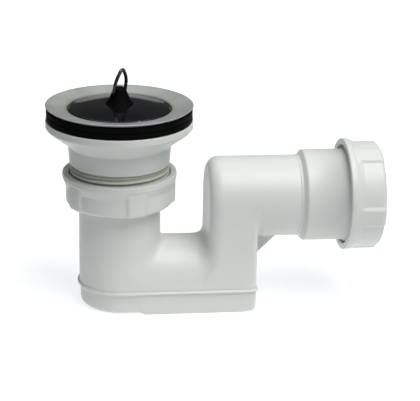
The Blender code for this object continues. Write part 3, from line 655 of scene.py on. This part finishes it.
def outer_field(x, y, z):
    upper = smooth_join(vault_field(x, y, z), riser_field(x, y, z), VAULT_FILLET)
    upper = smooth_join(upper, tube_field(x, y, z), TUBE_FILLET)
    upper = np.maximum(upper, plan_field(x, y, SKIRT_PROUD))
    fillet = CREASE + PIPE_FILLET * np.clip((x - RISER[1] + FILLET_START) / FILLET_RUN, 0, 1)
    upper = smooth_join(upper, pipe_field(x, y, z), fillet)
    upper = np.maximum(upper, np.abs(y) - HALF_DEPTH)
    upper = smooth_join(upper, gusset_field(x, y, z), GUSSET_FILLET)
    skirt = np.maximum(plan_field(x, y), z - VAULT_AXIS - SKIRT_OVERLAP)
    whole = np.maximum(np.minimum(upper, skirt), SKIRT_FOOT - z)
    spigot = np.maximum(z - SKIRT_FOOT - SPIGOT_OVERLAP, SPIGOT_FOOT - z)
    return np.minimum(whole, np.maximum(plan_field(x, y, SPIGOT_INSET), spigot))


def bore_field(x, y, z):
    inlet = np.hypot(x, y) - (TUBE_RADIUS - TUBE_WALL)
    vault = np.hypot(y, z - VAULT_AXIS) - (VAULT_RADIUS - WALL)
    vault = np.maximum(vault, np.maximum(-x, x - RISER[0] - VAULT_BORE_REACH))
    vault = np.maximum(vault, TUBE_RADIUS - np.hypot(x, y))
    chamber = np.maximum(plan_field(x, y, WALL + SKIRT_PROUD), z - PARTITION_FOOT)
    riser = np.maximum(riser_field(x, y, z, WALL), PARTITION_FOOT - PARTITION_LAP - z)
    return np.minimum.reduce([inlet, vault, chamber, riser, pipe_field(x, y, z, WALL)])


def trap_field(x, y, z):
    return np.maximum(outer_field(x, y, z), -bore_field(x, y, z))


print("wall of the trap:", WALL, "mm")

# %% [markdown]
# To skin a field, the space is cut into small cells. Every cell that the skin passes through gets
# one point, and every cell edge that crosses the skin gets one four-sided face between the four
# cells round it. The points are then slid along the field's slope until they lie exactly on the
# skin, so the surface is as smooth as the formula.

# %% Skin a distance field
LEAST_SLOPE = 0.05


def slide_onto_skin(field, points, cell, rounds=8, probe=0.01):
    start = points.copy()
    for _ in range(rounds):
        value = field(*points)
        slope = []
        for axis in range(3):
            nudge = np.zeros((3, 1))
            nudge[axis] = probe
            slope.append((field(*(points + nudge)) - field(*(points - nudge))) / (2 * probe))
        slope = np.array(slope)
        steep = np.maximum((slope**2).sum(0), LEAST_SLOPE)
        points = np.clip(points - slope * value / steep, start - cell, start + cell)
    return points


def skin_field(field, low, high, cell):
    ticks = [np.arange(a, b + cell, cell) for a, b in zip(low, high)]
    grid = np.meshgrid(*ticks, indexing="ij")
    inside = field(*grid) < 0
    size = inside.shape
    corners = np.zeros([n - 1 for n in size], int)
    for i, j, k in itertools.product((0, 1), repeat=3):
        corners += inside[i : size[0] - 1 + i, j : size[1] - 1 + j, k : size[2] - 1 + k]
    crossed = (corners > 0) & (corners < 8)
    number = np.full(crossed.shape, -1)
    number[crossed] = np.arange(crossed.sum())
    points = np.stack([axis[:-1, :-1, :-1][crossed] + cell / 2 for axis in grid])
    faces = []
    for axis in range(3):
        solid, cells = np.moveaxis(inside, axis, 0), np.moveaxis(number, axis, 0)
        i, j, k = np.nonzero(solid[:-1] != solid[1:])
        ring = np.stack([cells[i, j - 1, k - 1], cells[i, j, k - 1], cells[i, j, k], cells[i, j - 1, k]], 1)
        outward = solid[:-1][i, j, k] != (axis == 1)
        faces.append(np.where(outward[:, None], ring, ring[:, ::-1]))
    return slide_onto_skin(field, points, cell).T.tolist(), np.concatenate(faces).tolist()


CELL = 0.8
FIELD_LOW, FIELD_HIGH = (-22.3, -21.9, 9.1), (92.0, 22.0, 81.0)
shell = skin_field(trap_field, FIELD_LOW, FIELD_HIGH, CELL)
add_piece("trap_shell", shell, WHITE_PLASTIC, "trap", "trap_body")

# %% [markdown]
# Both nuts run on a coarse thread. A thread is a ridge that climbs one pitch in each turn, so its
# radius depends on height and angle together. One helper cuts it on the socket, on the waste's
# tail and, as grooves, inside the nuts, and lets it fade out at both ends as a mould does.

# %% Thread helper
PITCH = 2.309
THREAD_RADIUS = 23.9
RIDGE_STEEP = 4.4
RIDGE_LOWERED = 0.55
LEVEL_GAP = 0.16


def thread_table(crest, depth, low, high, phase=0.0, turns=TURNS):
    """Levels of a right-hand thread between two heights, fading out over a millimetre at the ends."""
    heights = np.arange(low, high + TINY, (high - low) / max(2, round((high - low) / LEVEL_GAP)))
    angles = np.arange(turns) * 2 * math.pi / turns
    share = ((heights[:, None] - PITCH * angles[None, :] / (2 * math.pi)) / PITCH + phase) % 1.0
    ridge = np.clip((0.5 - np.abs(share - 0.5)) * RIDGE_STEEP - RIDGE_LOWERED, 0, 1)
    fade = np.clip(np.minimum(heights - low, high - heights), 0, 1)[:, None]
    radius = crest - depth * (1 - ridge * fade)
    return np.stack([radius, np.repeat(heights[:, None], turns, 1)], 2)


print("thread pitch:", PITCH, "mm")

# %% [markdown]
# The outlet ends in a wider socket that takes the waste pipe, with the thread for its coupling nut
# outside and a chamfered mouth that squeezes the seal. It is turned like the other round pieces:
# a profile up to the thread, the thread's own levels, and a profile back down the inside.

# %% Outlet socket
TO_OUTLET = Matrix.Translation((0, 0, OUTLET_HEIGHT * MM)) @ Matrix.Rotation(math.radians(90), 4, "Y")
SOCKET_FOOT = 85.8
SOCKET_STOP = 89.3
SOCKET_END = 119.1
SOCKET_RADIUS = 22.3
SOCKET_BORE = 20.4
SOCKET_LIP = 0.2
PIPE_BORE = 17.4
PIPE_SKIN = 19.80
THREAD_START = 109.6
SOCKET_THREAD_DEPTH = 0.8
MOUTH_CHAMFER = (2.4, 2.6)


def make_socket():
    root = THREAD_RADIUS - SOCKET_THREAD_DEPTH
    outside = [(PIPE_BORE, SOCKET_FOOT, 0), (PIPE_SKIN, SOCKET_FOOT, 0), (PIPE_SKIN, 87.0, 1.3)]
    outside += [(SOCKET_RADIUS, 88.9, 1.3), (SOCKET_RADIUS, THREAD_START, 0)]
    mouth = [(root, SOCKET_END - SOCKET_LIP, 0), (root, SOCKET_END, 0.2)]
    mouth += [(SOCKET_BORE + MOUTH_CHAMFER[0], SOCKET_END, 0.2), (SOCKET_BORE, SOCKET_END - MOUTH_CHAMFER[1])]
    inside = [(SOCKET_BORE, SOCKET_STOP, 0.3), (PIPE_BORE, SOCKET_STOP, 0.3), (PIPE_BORE, SOCKET_FOOT, 0)]
    thread = thread_table(THREAD_RADIUS, SOCKET_THREAD_DEPTH, THREAD_START + 0.1, SOCKET_END - SOCKET_LIP)
    first, last = (soften(line, closed=False) for line in (outside, mouth + inside))
    table = np.concatenate([level_table(first), thread, level_table(last[:-1])])
    add_piece("outlet_socket", skin_levels(table), WHITE_PLASTIC, "trap", "trap_body", TO_OUTLET)


make_socket()

# %% [markdown]
# The base cap is welded to the body. Its plan follows the body, its bottom is a round bowl under
# the inlet and a flat pad under the vault, and the weld squeezed out a bead all round. It is
# lofted: the same outline is repeated at each height, pulled in by as much as the section asks
# there, which a turned profile can't do because the outline isn't round. First the outline.

# %% Outline of the base cap
PAD_START = 8.6
PAD_BLEND = 2.8
HALF_ROUND_STEPS = 96
CORNER_STEPS = 12


def cap_run(end):
    """Places along the straight side, close together where the bowl goes over to the pad."""
    run = list(np.linspace(0.6, PAD_START, 12))
    run += list(np.linspace(PAD_START + 0.2, PAD_START + PAD_BLEND, 14))
    return run + list(np.linspace(PAD_START + PAD_BLEND + 0.8, end, 46))


def cap_outline(inset):
    half, end, corner = HALF_DEPTH + SKIRT_PROUD, RISER[1] + SKIRT_PROUD, RISER_ROUNDS[1]
    points = []
    for step in range(HALF_ROUND_STEPS + 1):
        angle = math.pi / 2 + math.pi * step / HALF_ROUND_STEPS
        points.append((math.cos(angle) * (half - inset), math.sin(angle) * (half - inset)))
    run = cap_run(end - corner)
    points += [(x, inset - half) for x in run]
    reach = max(corner - inset, 0.05)
    shift = min(corner - inset, reach) - reach
    for centre, start in ((corner - half, -math.pi / 2), (half - corner, 0.0)):
        for step in range(1, CORNER_STEPS + 1) if start else range(CORNER_STEPS):
            angle = start + math.pi / 2 * step / CORNER_STEPS
            points.append((end - corner + math.cos(angle) * reach + shift, centre + math.sin(angle) * reach))
    return points + [(x, half - inset) for x in reversed(run)]


print("outline of the base cap:", len(cap_outline(0.0)), "points")

# %% [markdown]
# The section of the cap is three lists in one, because the lower edge is rounded widely under the
# bowl, hardly under the pad and a little at the far end. Each level gives a height and an inset
# for all three, up the outside, round the weld bead and down the inside.

# %% Section of the base cap
LOWER_EDGES = (3.6, 0.7, 2.6)
BEAD_MIDDLE = 11.2
BEAD_HALF = 0.8
BEAD_PROUD = 0.95
BEAD_SUNK = 0.1
BEAD_FOOT = BEAD_MIDDLE - BEAD_HALF
CAP_FLOOR = 2.4


def cap_levels():
    """(height, inset) pairs under the bowl, the pad and the pad's far end."""
    levels = []
    for step in range(CORNER_STEPS + 1):
        angle = math.pi / 2 * step / CORNER_STEPS
        rise, draw = 1 - math.cos(angle), 1 - math.sin(angle)
        levels.append([(edge * rise, edge * draw) for edge in LOWER_EDGES])
    side = [(6.0, 0.0), (BEAD_FOOT - 0.5, 0.05), (BEAD_FOOT - 0.05, 0.0)]
    for step in range(CORNER_STEPS + 1):
        angle = -math.pi / 2 + math.pi * step / CORNER_STEPS
        out = BEAD_SUNK - (BEAD_PROUD + BEAD_SUNK) * math.cos(angle)
        side.append((BEAD_MIDDLE + BEAD_HALF * math.sin(angle), out))
    side += [(BEAD_MIDDLE + BEAD_HALF, 1.0), (SPIGOT_FOOT - 0.3, 1.0)]
    side += [(SPIGOT_FOOT - 0.4, 3.1), (CAP_FLOOR, 3.2)]
    return levels + [[level] * 3 for level in side]


print("levels of the base cap:", len(cap_levels()))

# %% [markdown]
# The loft itself mixes the three sections along the cap. The bowl also stands a little further in
# than the pad, and that step fades slowly along the side while the lower edge changes at once.

# %% Base cap
BOWL_STEP = 0.55
BOWL_FADE = (-2.0, 16.0)
WIDEST_INSET = 3.65
END_BLEND = (7.0, 6.0)


def eased(value, start, reach):
    share = min(1.0, max(0.0, (value - start) / reach))
    return share * share * (3 - 2 * share)


def cap_ring(level):
    end = RISER[1] + SKIRT_PROUD - END_BLEND[0]
    outlines = [cap_outline(inset) for _, inset in level]
    pulled = [cap_outline(inset + BOWL_STEP) for _, inset in level]
    on_wall = level[0][0] < BEAD_FOOT and level[0][1] < WIDEST_INSET
    ring = []
    for places, drawn_in in zip(zip(*outlines), zip(*pulled)):
        along = places[1][0]
        on_pad, on_end = eased(along, PAD_START, PAD_BLEND), eased(along, end, END_BLEND[1])
        weights = (1 - on_pad, on_pad * (1 - on_end), on_pad * on_end)
        step = (1 - eased(along, *BOWL_FADE)) if on_wall else 0.0
        sums = []
        for axis in range(2):
            flush = sum(w * place[axis] for w, place in zip(weights, places))
            inner = sum(w * place[axis] for w, place in zip(weights, drawn_in))
            sums.append(flush + (inner - flush) * step)
        ring.append((*sums, sum(w * height for w, (height, _) in zip(weights, level))))
    return ring


def make_base_cap():
    points, rings = [], []
    for level in cap_levels():
        ring = cap_ring(level)
        rings.append(list(range(len(points), len(points) + len(ring))))
        points += ring
    faces = [list(reversed(rings[0])), rings[-1]]
    for low, high in zip(rings, rings[1:]):
        faces += [(low[i - 1], low[i], high[i], high[i - 1]) for i in range(len(low))]
    add_piece("base_moulding", (points, faces), WHITE_PLASTIC, "trap", "base_cap")


make_base_cap()

# %% [markdown]
# A coupling nut has a plain collar at its open end and five shallow grip pockets that run out in
# a ramp below it. Two profiles with the same number of levels are drawn, one through a rib and
# one through a pocket, and the angle says how far to go from the first to the second. That keeps
# the pocket walls soft, as the moulding's are.

# %% Profiles of a coupling nut
NUT_BORE = 24.2
COLLAR_RADIUS = 27.4
COLLAR_LENGTH = 3.2
RIB_RADIUS = 26.9
RIB_ROUND = 3.0
POCKET_DEPTH = 1.0
POCKET_ROUND = 2.2
POCKET_LEDGE = 0.4
RAMP = 3.5


def nut_outline(length, pocket):
    """From the foot's hole round the outside to the mouth. The pocket line has the same points."""
    collar = length - COLLAR_LENGTH
    side, foot_round, top = RIB_RADIUS, RIB_ROUND, (RIB_RADIUS, collar, 0.25)
    if pocket:
        side, foot_round = RIB_RADIUS - POCKET_DEPTH, POCKET_ROUND
        top = (RIB_RADIUS + POCKET_LEDGE, collar + POCKET_LEDGE, 0.2)
    points = [(side - 5.0, 0.0, 0), (side, 0.0, foot_round), (side, collar - RAMP, 0.6), top]
    points += [(COLLAR_RADIUS, collar + 0.5, 0.25), (COLLAR_RADIUS, length, 0.7)]
    return points + [(NUT_BORE + 0.4, length, 0.2), (NUT_BORE, length - 0.7, 0)]


def resampled(profile, count=84):
    """The same number of points along any line, evenly spaced."""
    steps = np.concatenate([[0.0], np.cumsum(np.linalg.norm(np.diff(profile, axis=0), axis=1))])
    wanted = np.linspace(0, steps[-1], count)
    return np.stack([np.interp(wanted, steps, profile[:, axis]) for axis in range(2)], 1)


print("nut collar:", 2 * COLLAR_RADIUS, "mm across")

# %% [markdown]
# The nut's inside is a thread turned inside out: its grooves mirror a ridge about the bore. The
# foot is closed by a web with the hole that the tube passes through.

# %% Coupling nuts
POCKETS = 5
POCKET_HALF = 24.0
POCKET_EDGE = 4.0
POCKET_EASE = 0.4
NUT_TURNS = 400
GROOVE_DEPTH = 0.55
GROOVE_START = 4.9
WEB = 2.4


def make_nut(name, node, length, hole, turn, place):
    lines = (soften(nut_outline(length, cut), closed=False, steps=6) for cut in (False, True))
    rib_line, pocket_line = (resampled(line) for line in lines)
    spacing = 360.0 / POCKETS
    angles = np.arange(NUT_TURNS) * 360.0 / NUT_TURNS
    from_middle = np.abs((angles - turn + spacing / 2) % spacing - spacing / 2)
    share = np.clip((POCKET_HALF + POCKET_EDGE - from_middle) / POCKET_EDGE, 0, 1)
    share = (1 - POCKET_EASE) * share + POCKET_EASE * share * share * (3 - 2 * share)
    outside = rib_line[:, None, :] + (pocket_line - rib_line)[:, None, :] * share[None, :, None]
    high = length - 0.8
    grooves = thread_table(NUT_BORE, -GROOVE_DEPTH, GROOVE_START, high, phase=0.5, turns=NUT_TURNS)[::-1]
    grooves[:, :, 0] = 2 * NUT_BORE + GROOVE_DEPTH - grooves[:, :, 0]
    inside = [(NUT_BORE, GROOVE_START - 0.1, 0), (NUT_BORE, WEB, 0.3), (hole, WEB, 0.3), (hole, 0.0, 0.4)]
    inside = soften(inside + [(hole + 1.0, 0.0, 0)], closed=False)
    table = np.concatenate([outside, grooves, level_table(inside, NUT_TURNS)])
    add_piece(name, skin_levels(table), WHITE_PLASTIC, node, node, place)


nut_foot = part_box("inlet_nut")[0][2]
INLET_PLACE = Matrix.Translation((0, 0, nut_foot))
nut_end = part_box("outlet_nut")[1][0]
facing_back = Matrix.Rotation(math.radians(-90), 4, "Y")
OUTLET_PLACE = Matrix.Translation((nut_end, 0, OUTLET_HEIGHT * MM)) @ facing_back
make_nut("inlet_coupling_nut", "inlet_nut", length=15.5, hole=20.0, turn=33.0, place=INLET_PLACE)
make_nut("outlet_coupling_nut", "outlet_nut", length=17.3, hole=20.5, turn=11.0, place=OUTLET_PLACE)

# %% [markdown]
# Inside each nut a stiff slip ring keeps the turning nut from dragging the rubber, and a tapered
# seal is squeezed into the chamfered mouth. They are turned pieces, seen in the open outlet. Each
# nut's row gives the bore of its ring, the bore of its seal, its place and the seal's body.

# %% Slip rings and seals
RING_FACES = (2.7, 4.2)
RING_OUTSIDE = 23.9
SEAL_FACES = (4.5, 6.7, 8.9)
SEAL_TAPER = (22.4, 20.6)
NUT_FITS = {
    "inlet": (20.0, 19.8, INLET_PLACE, "inlet_seal"),
    "outlet": (20.5, 20.3, OUTLET_PLACE, "outlet_ring"),
}

for side, (ring_bore, seal_bore, place, seal_body) in NUT_FITS.items():
    low, high = RING_FACES
    ring = [(RING_OUTSIDE, high), (RING_OUTSIDE, low), (ring_bore, low), (ring_bore, high)]
    turn_piece(side + "_slip_washer", ring, 0.25, WHITE_PLASTIC, side + "_ring", side + "_slip_ring", place)
    low, shoulder, tip = SEAL_FACES
    seal = [(SEAL_TAPER[1], tip), (SEAL_TAPER[0], shoulder), (RING_OUTSIDE, shoulder), (RING_OUTSIDE, low)]
    seal += [(seal_bore, low), (seal_bore, tip)]
    turn_piece(side + "_tapered_seal", seal, 0.25, BLACK_RUBBER, seal_body, side + "_seal", place)

# %% [markdown]
# The upper moulding is a shallow bowl with a thick rim on a short neck. Its tail carries the
# thread that the inlet nut runs on, with a plain groove cut above it. Both are darkened towards
# their roots with painted shade, in an olive colour that adds a little dirt. The profile runs up
# the tail, round the rim and back down the inside.

# %% Waste body
NECK_START = 72.4
TAIL_END = 59.3
TAIL_RADIUS = 22.5
THREAD_DEPTH = 1.1
NECK_GROOVE = 0.9
# Painted shade in the grooves: how far below the crest it begins and how far it fades in.
GROOVE_SHADE_AND_DIRT_START = 0.25
GROOVE_SHADE_AND_DIRT_FADE = 0.5


def make_waste_body():
    groove = THREAD_RADIUS - NECK_GROOVE
    tail = [(TAIL_RADIUS, TAIL_END), (TAIL_RADIUS + 0.5, TAIL_END + 0.3)]
    thread = thread_table(THREAD_RADIUS, THREAD_DEPTH, TAIL_END + 0.5, NECK_START - 0.8, phase=0.35)
    line = [(groove, NECK_START - 0.75, 0), (groove, NECK_START, 0.15), (24.0, NECK_START, 0.2)]
    line += [(24.6, 81.2, 0.5), (25.3, 82.3, 0.6), (34.3, 89.3, 0.5), (35.0, 90.3, 0.5), (35.0, 93.3, 0.5)]
    line += [(31.0, 93.3, 0.4), (31.0, 90.7, 0.8), (22.0, 83.3, 0.8), (22.0, 81.3, 0.5), (17.9, 81.3, 0.4)]
    line += [(17.9, 79.5, 0.3), (19.9, 79.5, 0.3), (19.9, 61.9, 0.3), (TAIL_RADIUS, TAIL_END, 0)]
    upper = soften(line, closed=False)[:-1]
    points, faces = skin_levels(np.concatenate([level_table(tail), thread, level_table(upper)]))
    bowl = add_piece("waste_bowl", (points, faces), WHITE_PLASTIC, "waste", "waste_body")
    x, y, z = np.array(points).T
    radii = np.hypot(x, y)
    # The deeper a point lies in a groove, the more painted shade it gets.
    depth = np.clip((THREAD_RADIUS - GROOVE_SHADE_AND_DIRT_START - radii) / GROOVE_SHADE_AND_DIRT_FADE, 0, 1)
    mark_shade_and_dirt(bowl, depth * (z < NECK_START + 0.05) * (radii > 22.0))


make_waste_body()

# %% [markdown]
# Inside the bowl a three-arm spider holds the hub for the brass insert, and the flange has a cross
# of the same kind. Seen along the axis such a star is a radius for every angle, so it can be
# skinned by levels too, which rounds its upper and lower edges without any modifier.

# %% Stars: the spider and its hub
STAR_TURNS = 384
STAR_EDGE_STEPS = 4
HUB_TOP = 87.4
HUB_FOOT = 80.2
HUB_RADIUS = 6.2
HUB_BORE = 3.1
SEAT_FOOT = 81.1
SEAT_RADIUS = 4.3


def star_radius(arms, half_width, reach, hub, first=0.0):
    """Radius by angle of a hub with straight arms, seen along the axis."""
    angles = np.arange(STAR_TURNS) * 2 * math.pi / STAR_TURNS
    radius = np.full(STAR_TURNS, float(hub))
    for arm in range(arms):
        off = angles - first - 2 * math.pi * arm / arms
        along, across = np.cos(off), np.abs(np.sin(off))
        edge = np.minimum(reach / np.maximum(along, TINY), half_width / np.maximum(across, TINY))
        radius = np.where(along > 0, np.maximum(radius, edge), radius)
    return radius


def make_star(name, outline, low, high, bore, edge, finish, node):
    """A flat star with rounded upper and lower edges and a hole through its hub."""
    levels = [(np.full_like(outline, bore), low), (np.full_like(outline, bore), high)]
    upper = [math.pi / 2 * step / STAR_EDGE_STEPS for step in range(STAR_EDGE_STEPS + 1)]
    lower = [math.pi / 2 * (1 - step / STAR_EDGE_STEPS) for step in range(STAR_EDGE_STEPS + 1)]
    for face, angles, inward in ((high, upper, -1), (low, lower, 1)):
        for angle in angles:
            depth = edge * (1 - math.cos(angle))
            levels.append((outline - edge * (1 - math.sin(angle)), face + inward * depth))
    table = np.array([np.stack([radii, np.full_like(outline, height)], 1) for radii, height in levels])
    add_piece(name, skin_levels(table), finish, "waste", node)


spider_outline = star_radius(arms=3, half_width=1.5, reach=23.2, hub=HUB_RADIUS, first=math.radians(90))
make_star("waste_spider", spider_outline, 82.3, 85.5, HUB_BORE, 0.5, WHITE_PLASTIC, "waste_body")
hub_profile = [(HUB_RADIUS, HUB_TOP), (HUB_RADIUS, HUB_FOOT), (HUB_BORE, HUB_FOOT)]
hub_profile += [(HUB_BORE, SEAT_FOOT, 0.1), (SEAT_RADIUS, SEAT_FOOT, 0.1), (SEAT_RADIUS, HUB_TOP)]
turn_piece("waste_hub", hub_profile, 0.4, WHITE_PLASTIC, "waste", "waste_body")

# %% [markdown]
# The flange is pressed from one sheet: a thin rolled rim, a shallow dish that the plug sits in,
# and a throat that tapers to a cross. Only the profile and the star of the cross are needed. The
# dish is a plain cone, and the extra points near its ends keep its shading even. Where it meets the
# plug it is darkened, more on the far side: painted shade, in an olive colour that adds a little dirt.

# %% Flange and its cross
FLANGE_TURNS = 256
DISH = [(24.7, 98.65, 0.3), (25.6, 98.84, 0), (26.4, 99.01, 0), (31.6, 100.1, 0), (32.4, 100.27, 0)]
RIM = [(33.6, 100.52, 1.0), (34.6, 100.6, 0.3), (35.0, 100.5, 0.1), (34.9, 100.35, 0.05), (33.9, 100.15, 0.1)]
UNDERSIDE = [(33.6, 99.2, 0.2), (29.7, 99.2, 0.8), (25.9, 97.6, 0.6), (25.4, 96.6, 0.4), (25.2, 95.6, 0.5)]
THROAT = [(22.9, 95.4, 0.3), (21.8, 88.2, 0.3), (18.9, 88.2, 0.2), (18.9, 89.2, 0.2), (20.9, 89.2, 0.4)]
THROAT += [(22.2, 96.5, 0.3), (24.6, 96.5, 0.2)]
# Painted shade round the plug: where it starts, how far it fades in, and its share on each side.
SHADE_AND_DIRT_RADIUS = 26.6
SHADE_AND_DIRT_FADE = 1.9
SHADE_AND_DIRT_SHARE = 0.45


def make_flange():
    line = soften(DISH + RIM + UNDERSIDE + THROAT, 0.3, steps=6)
    points, faces = skin_levels(level_table(line, FLANGE_TURNS))
    flange = add_piece("steel_flange", (points, faces), STAINLESS, "waste", "waste_flange")
    x, y, _ = np.array(points).T
    radii = np.hypot(x, y)
    # Painted shade at the dish's inner edge, heavier on the far side.
    far_side = SHADE_AND_DIRT_SHARE + SHADE_AND_DIRT_SHARE * y / radii
    mark_shade_and_dirt(flange, np.clip((SHADE_AND_DIRT_RADIUS - radii) / SHADE_AND_DIRT_FADE, 0, 1) * far_side)


make_flange()
cross_outline = star_radius(arms=4, half_width=1.6, reach=19.6, hub=6.2)
make_star("steel_cross", cross_outline, 88.2, 89.2, 2.8, 0.3, STAINLESS, "waste_flange")

# %% [markdown]
# Two flat rubber washers are clamped between flange and bowl, where the shower tray goes. The
# frame says how high each one lies.

# %% Washers
WASHER_RADII = (30.0, 34.6)
WASHER_THICKNESS = 2.5

for node in ("lower_washer", "upper_washer"):
    bore, rim = WASHER_RADII
    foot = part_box(node)[0][2] / MM
    top = foot + WASHER_THICKNESS
    profile = [(rim, top), (rim, foot), (bore, foot), (bore, top)]
    turn_piece(node + "_ring", profile, 0.15, BLACK_RUBBER, "waste", node)

# %% [markdown]
# The plug is a rubber disc with a low dome, a stepped foot that seals in the throat, and a waisted
# boss. On the real one disc and boss are one moulding, but only the disc is glossy. They are two
# meshes here, each with its own finish, which is simpler than a border between two materials.

# %% Plug
BOSS_TOP = 109.1
BOSS = [(0.0, BOSS_TOP, 0), (1.6, BOSS_TOP - 0.05, 0), (3.0, 108.3, 0.9), (3.5, 106.9, 0), (3.95, 105.5, 0)]
BOSS_FLARE = [(4.9, 103.6, 0), (5.9, 101.7, 0.5), (6.6, 101.14, 0), (6.6, 100.6, 0), (0.0, 100.6, 0)]
DOME = [(0.0, 100.5, 0), (6.4, 100.95, 0), (10.0, 101.0, 0), (13.0, 100.75, 0), (16.0, 100.35, 0)]
DOME += [(19.0, 99.8, 0), (21.5, 99.25, 0), (23.6, 98.9, 0.4)]
PLUG_FOOT = [(24.4, 98.3, 0.4), (24.4, 96.8, 0.3), (21.6, 96.8, 0.3), (20.9, 92.2, 0.4), (18.6, 92.2, 0.4)]
PLUG_FOOT += [(18.6, 95.65, 0.6), (0.0, 95.65, 0)]
PLUG_PIECES = {"plug_disc": (DOME + PLUG_FOOT, GLOSS_RUBBER), "plug_boss": (BOSS + BOSS_FLARE, BLACK_RUBBER)}

for name, (profile, finish) in PLUG_PIECES.items():
    table = level_table(soften(profile, 0.3, closed=False))
    add_piece(name, skin_levels(table, closed=False), finish, "plug", "plug")

# %% [markdown]
# The pull ring is a bent wire whose two ends sit in a hole across the boss. Its line starts in the
# hole, turns up through a small bend, leans in along the side and closes in a round cap. It is
# smoothed before the bevel, so that no bend shows a corner.

# %% Line of the pull ring
RING_HALF = 4.9
RING_TOP = 11.35
WIRE_BEND = 1.36
RING_CAP = 2.06


def smooth_line(points, steps=8):
    """A Catmull-Rom line through the points."""
    line = []
    for i in range(len(points) - 1):
        a, b, c, d = (points[max(0, min(len(points) - 1, i + k))] for k in (-1, 0, 1, 2))
        for step in range(steps):
            t = step / steps
            steady = (2 * b) + (c - a) * t
            bending = (2 * a - 5 * b + 4 * c - d) * t * t
            line.append(0.5 * (steady + bending + (3 * b - a - 3 * c + d) * t**3))
    return line + [points[-1]]


def ring_line():
    """Across and up from the hole's axis: the left half from hole to cap, then its mirror image."""
    left = [(-2.2, 0.0), (-3.0, 0.0)]
    for step in range(5):
        angle = math.radians(270 - 90 * step / 4)
        across = -RING_HALF + WIRE_BEND + WIRE_BEND * math.cos(angle)
        left.append((across, WIRE_BEND + WIRE_BEND * math.sin(angle)))
    left += [(-RING_HALF, 3.2), (-RING_HALF + 0.02, 4.8), (-4.3, 6.6), (-3.3, 8.4)]
    for step in range(4):
        angle = math.radians(150 - 60 * step / 3)
        left.append((RING_CAP * math.cos(angle), RING_TOP - RING_CAP + RING_CAP * math.sin(angle)))
    return smooth_line([np.array(point) for point in left + [(-x, z) for x, z in reversed(left[:-1])]])


print("pull_ring_wire:", len(ring_line()), "points")

# %% [markdown]
# A curve with a round bevel makes the wire, because a curve keeps its thickness in every bend. The
# ring stands turned on the plug and leans back a little, as in the photograph.

# %% Pull ring
RING_PIVOT = 106.1
WIRE = 0.85
RING_TURN = math.radians(235.0)
RING_LEAN = math.radians(-8.0)


def make_pull_ring():
    line = ring_line()
    curve = bpy.data.curves.new("pull_ring_wire", "CURVE")
    curve.dimensions = "3D"
    curve.bevel_depth = WIRE * MM
    curve.bevel_resolution = 6
    curve.use_fill_caps = True
    spline = curve.splines.new("POLY")
    spline.points.add(len(line) - 1)
    turned = Matrix.Translation((0, 0, RING_PIVOT * MM)) @ Matrix.Rotation(RING_TURN, 4, "Z")
    place = turned @ Matrix.Rotation(RING_LEAN, 4, "X")
    for point, (x, z) in zip(spline.points, line):
        point.co = (*(place @ Vector((x * MM, 0.0, z * MM))), 1.0)
    spline.use_smooth = True
    surface, slot = BLACK_WIRE
    curve.materials.append(surface)
    ring = bpy.data.objects.new("pull_ring_wire", curve)
    scene.collection.objects.link(ring)
    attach(ring, "pull_ring")
    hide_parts("pull_ring")
    return ring


print("made:", make_pull_ring().name)

# %% [markdown]
# The screw and its brass insert keep the frame's own solids, which are right as they are. They
# only get their finishes.

# %% Screw and insert
for node, surface in (("flange_screw", STAINLESS[0]), ("screw_insert", BRASS)):
    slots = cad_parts[node].data.materials
    if not slots:
        slots.append(surface)
    for index in range(len(slots)):
        slots[index] = surface
    print(node, "finish:", surface.name)
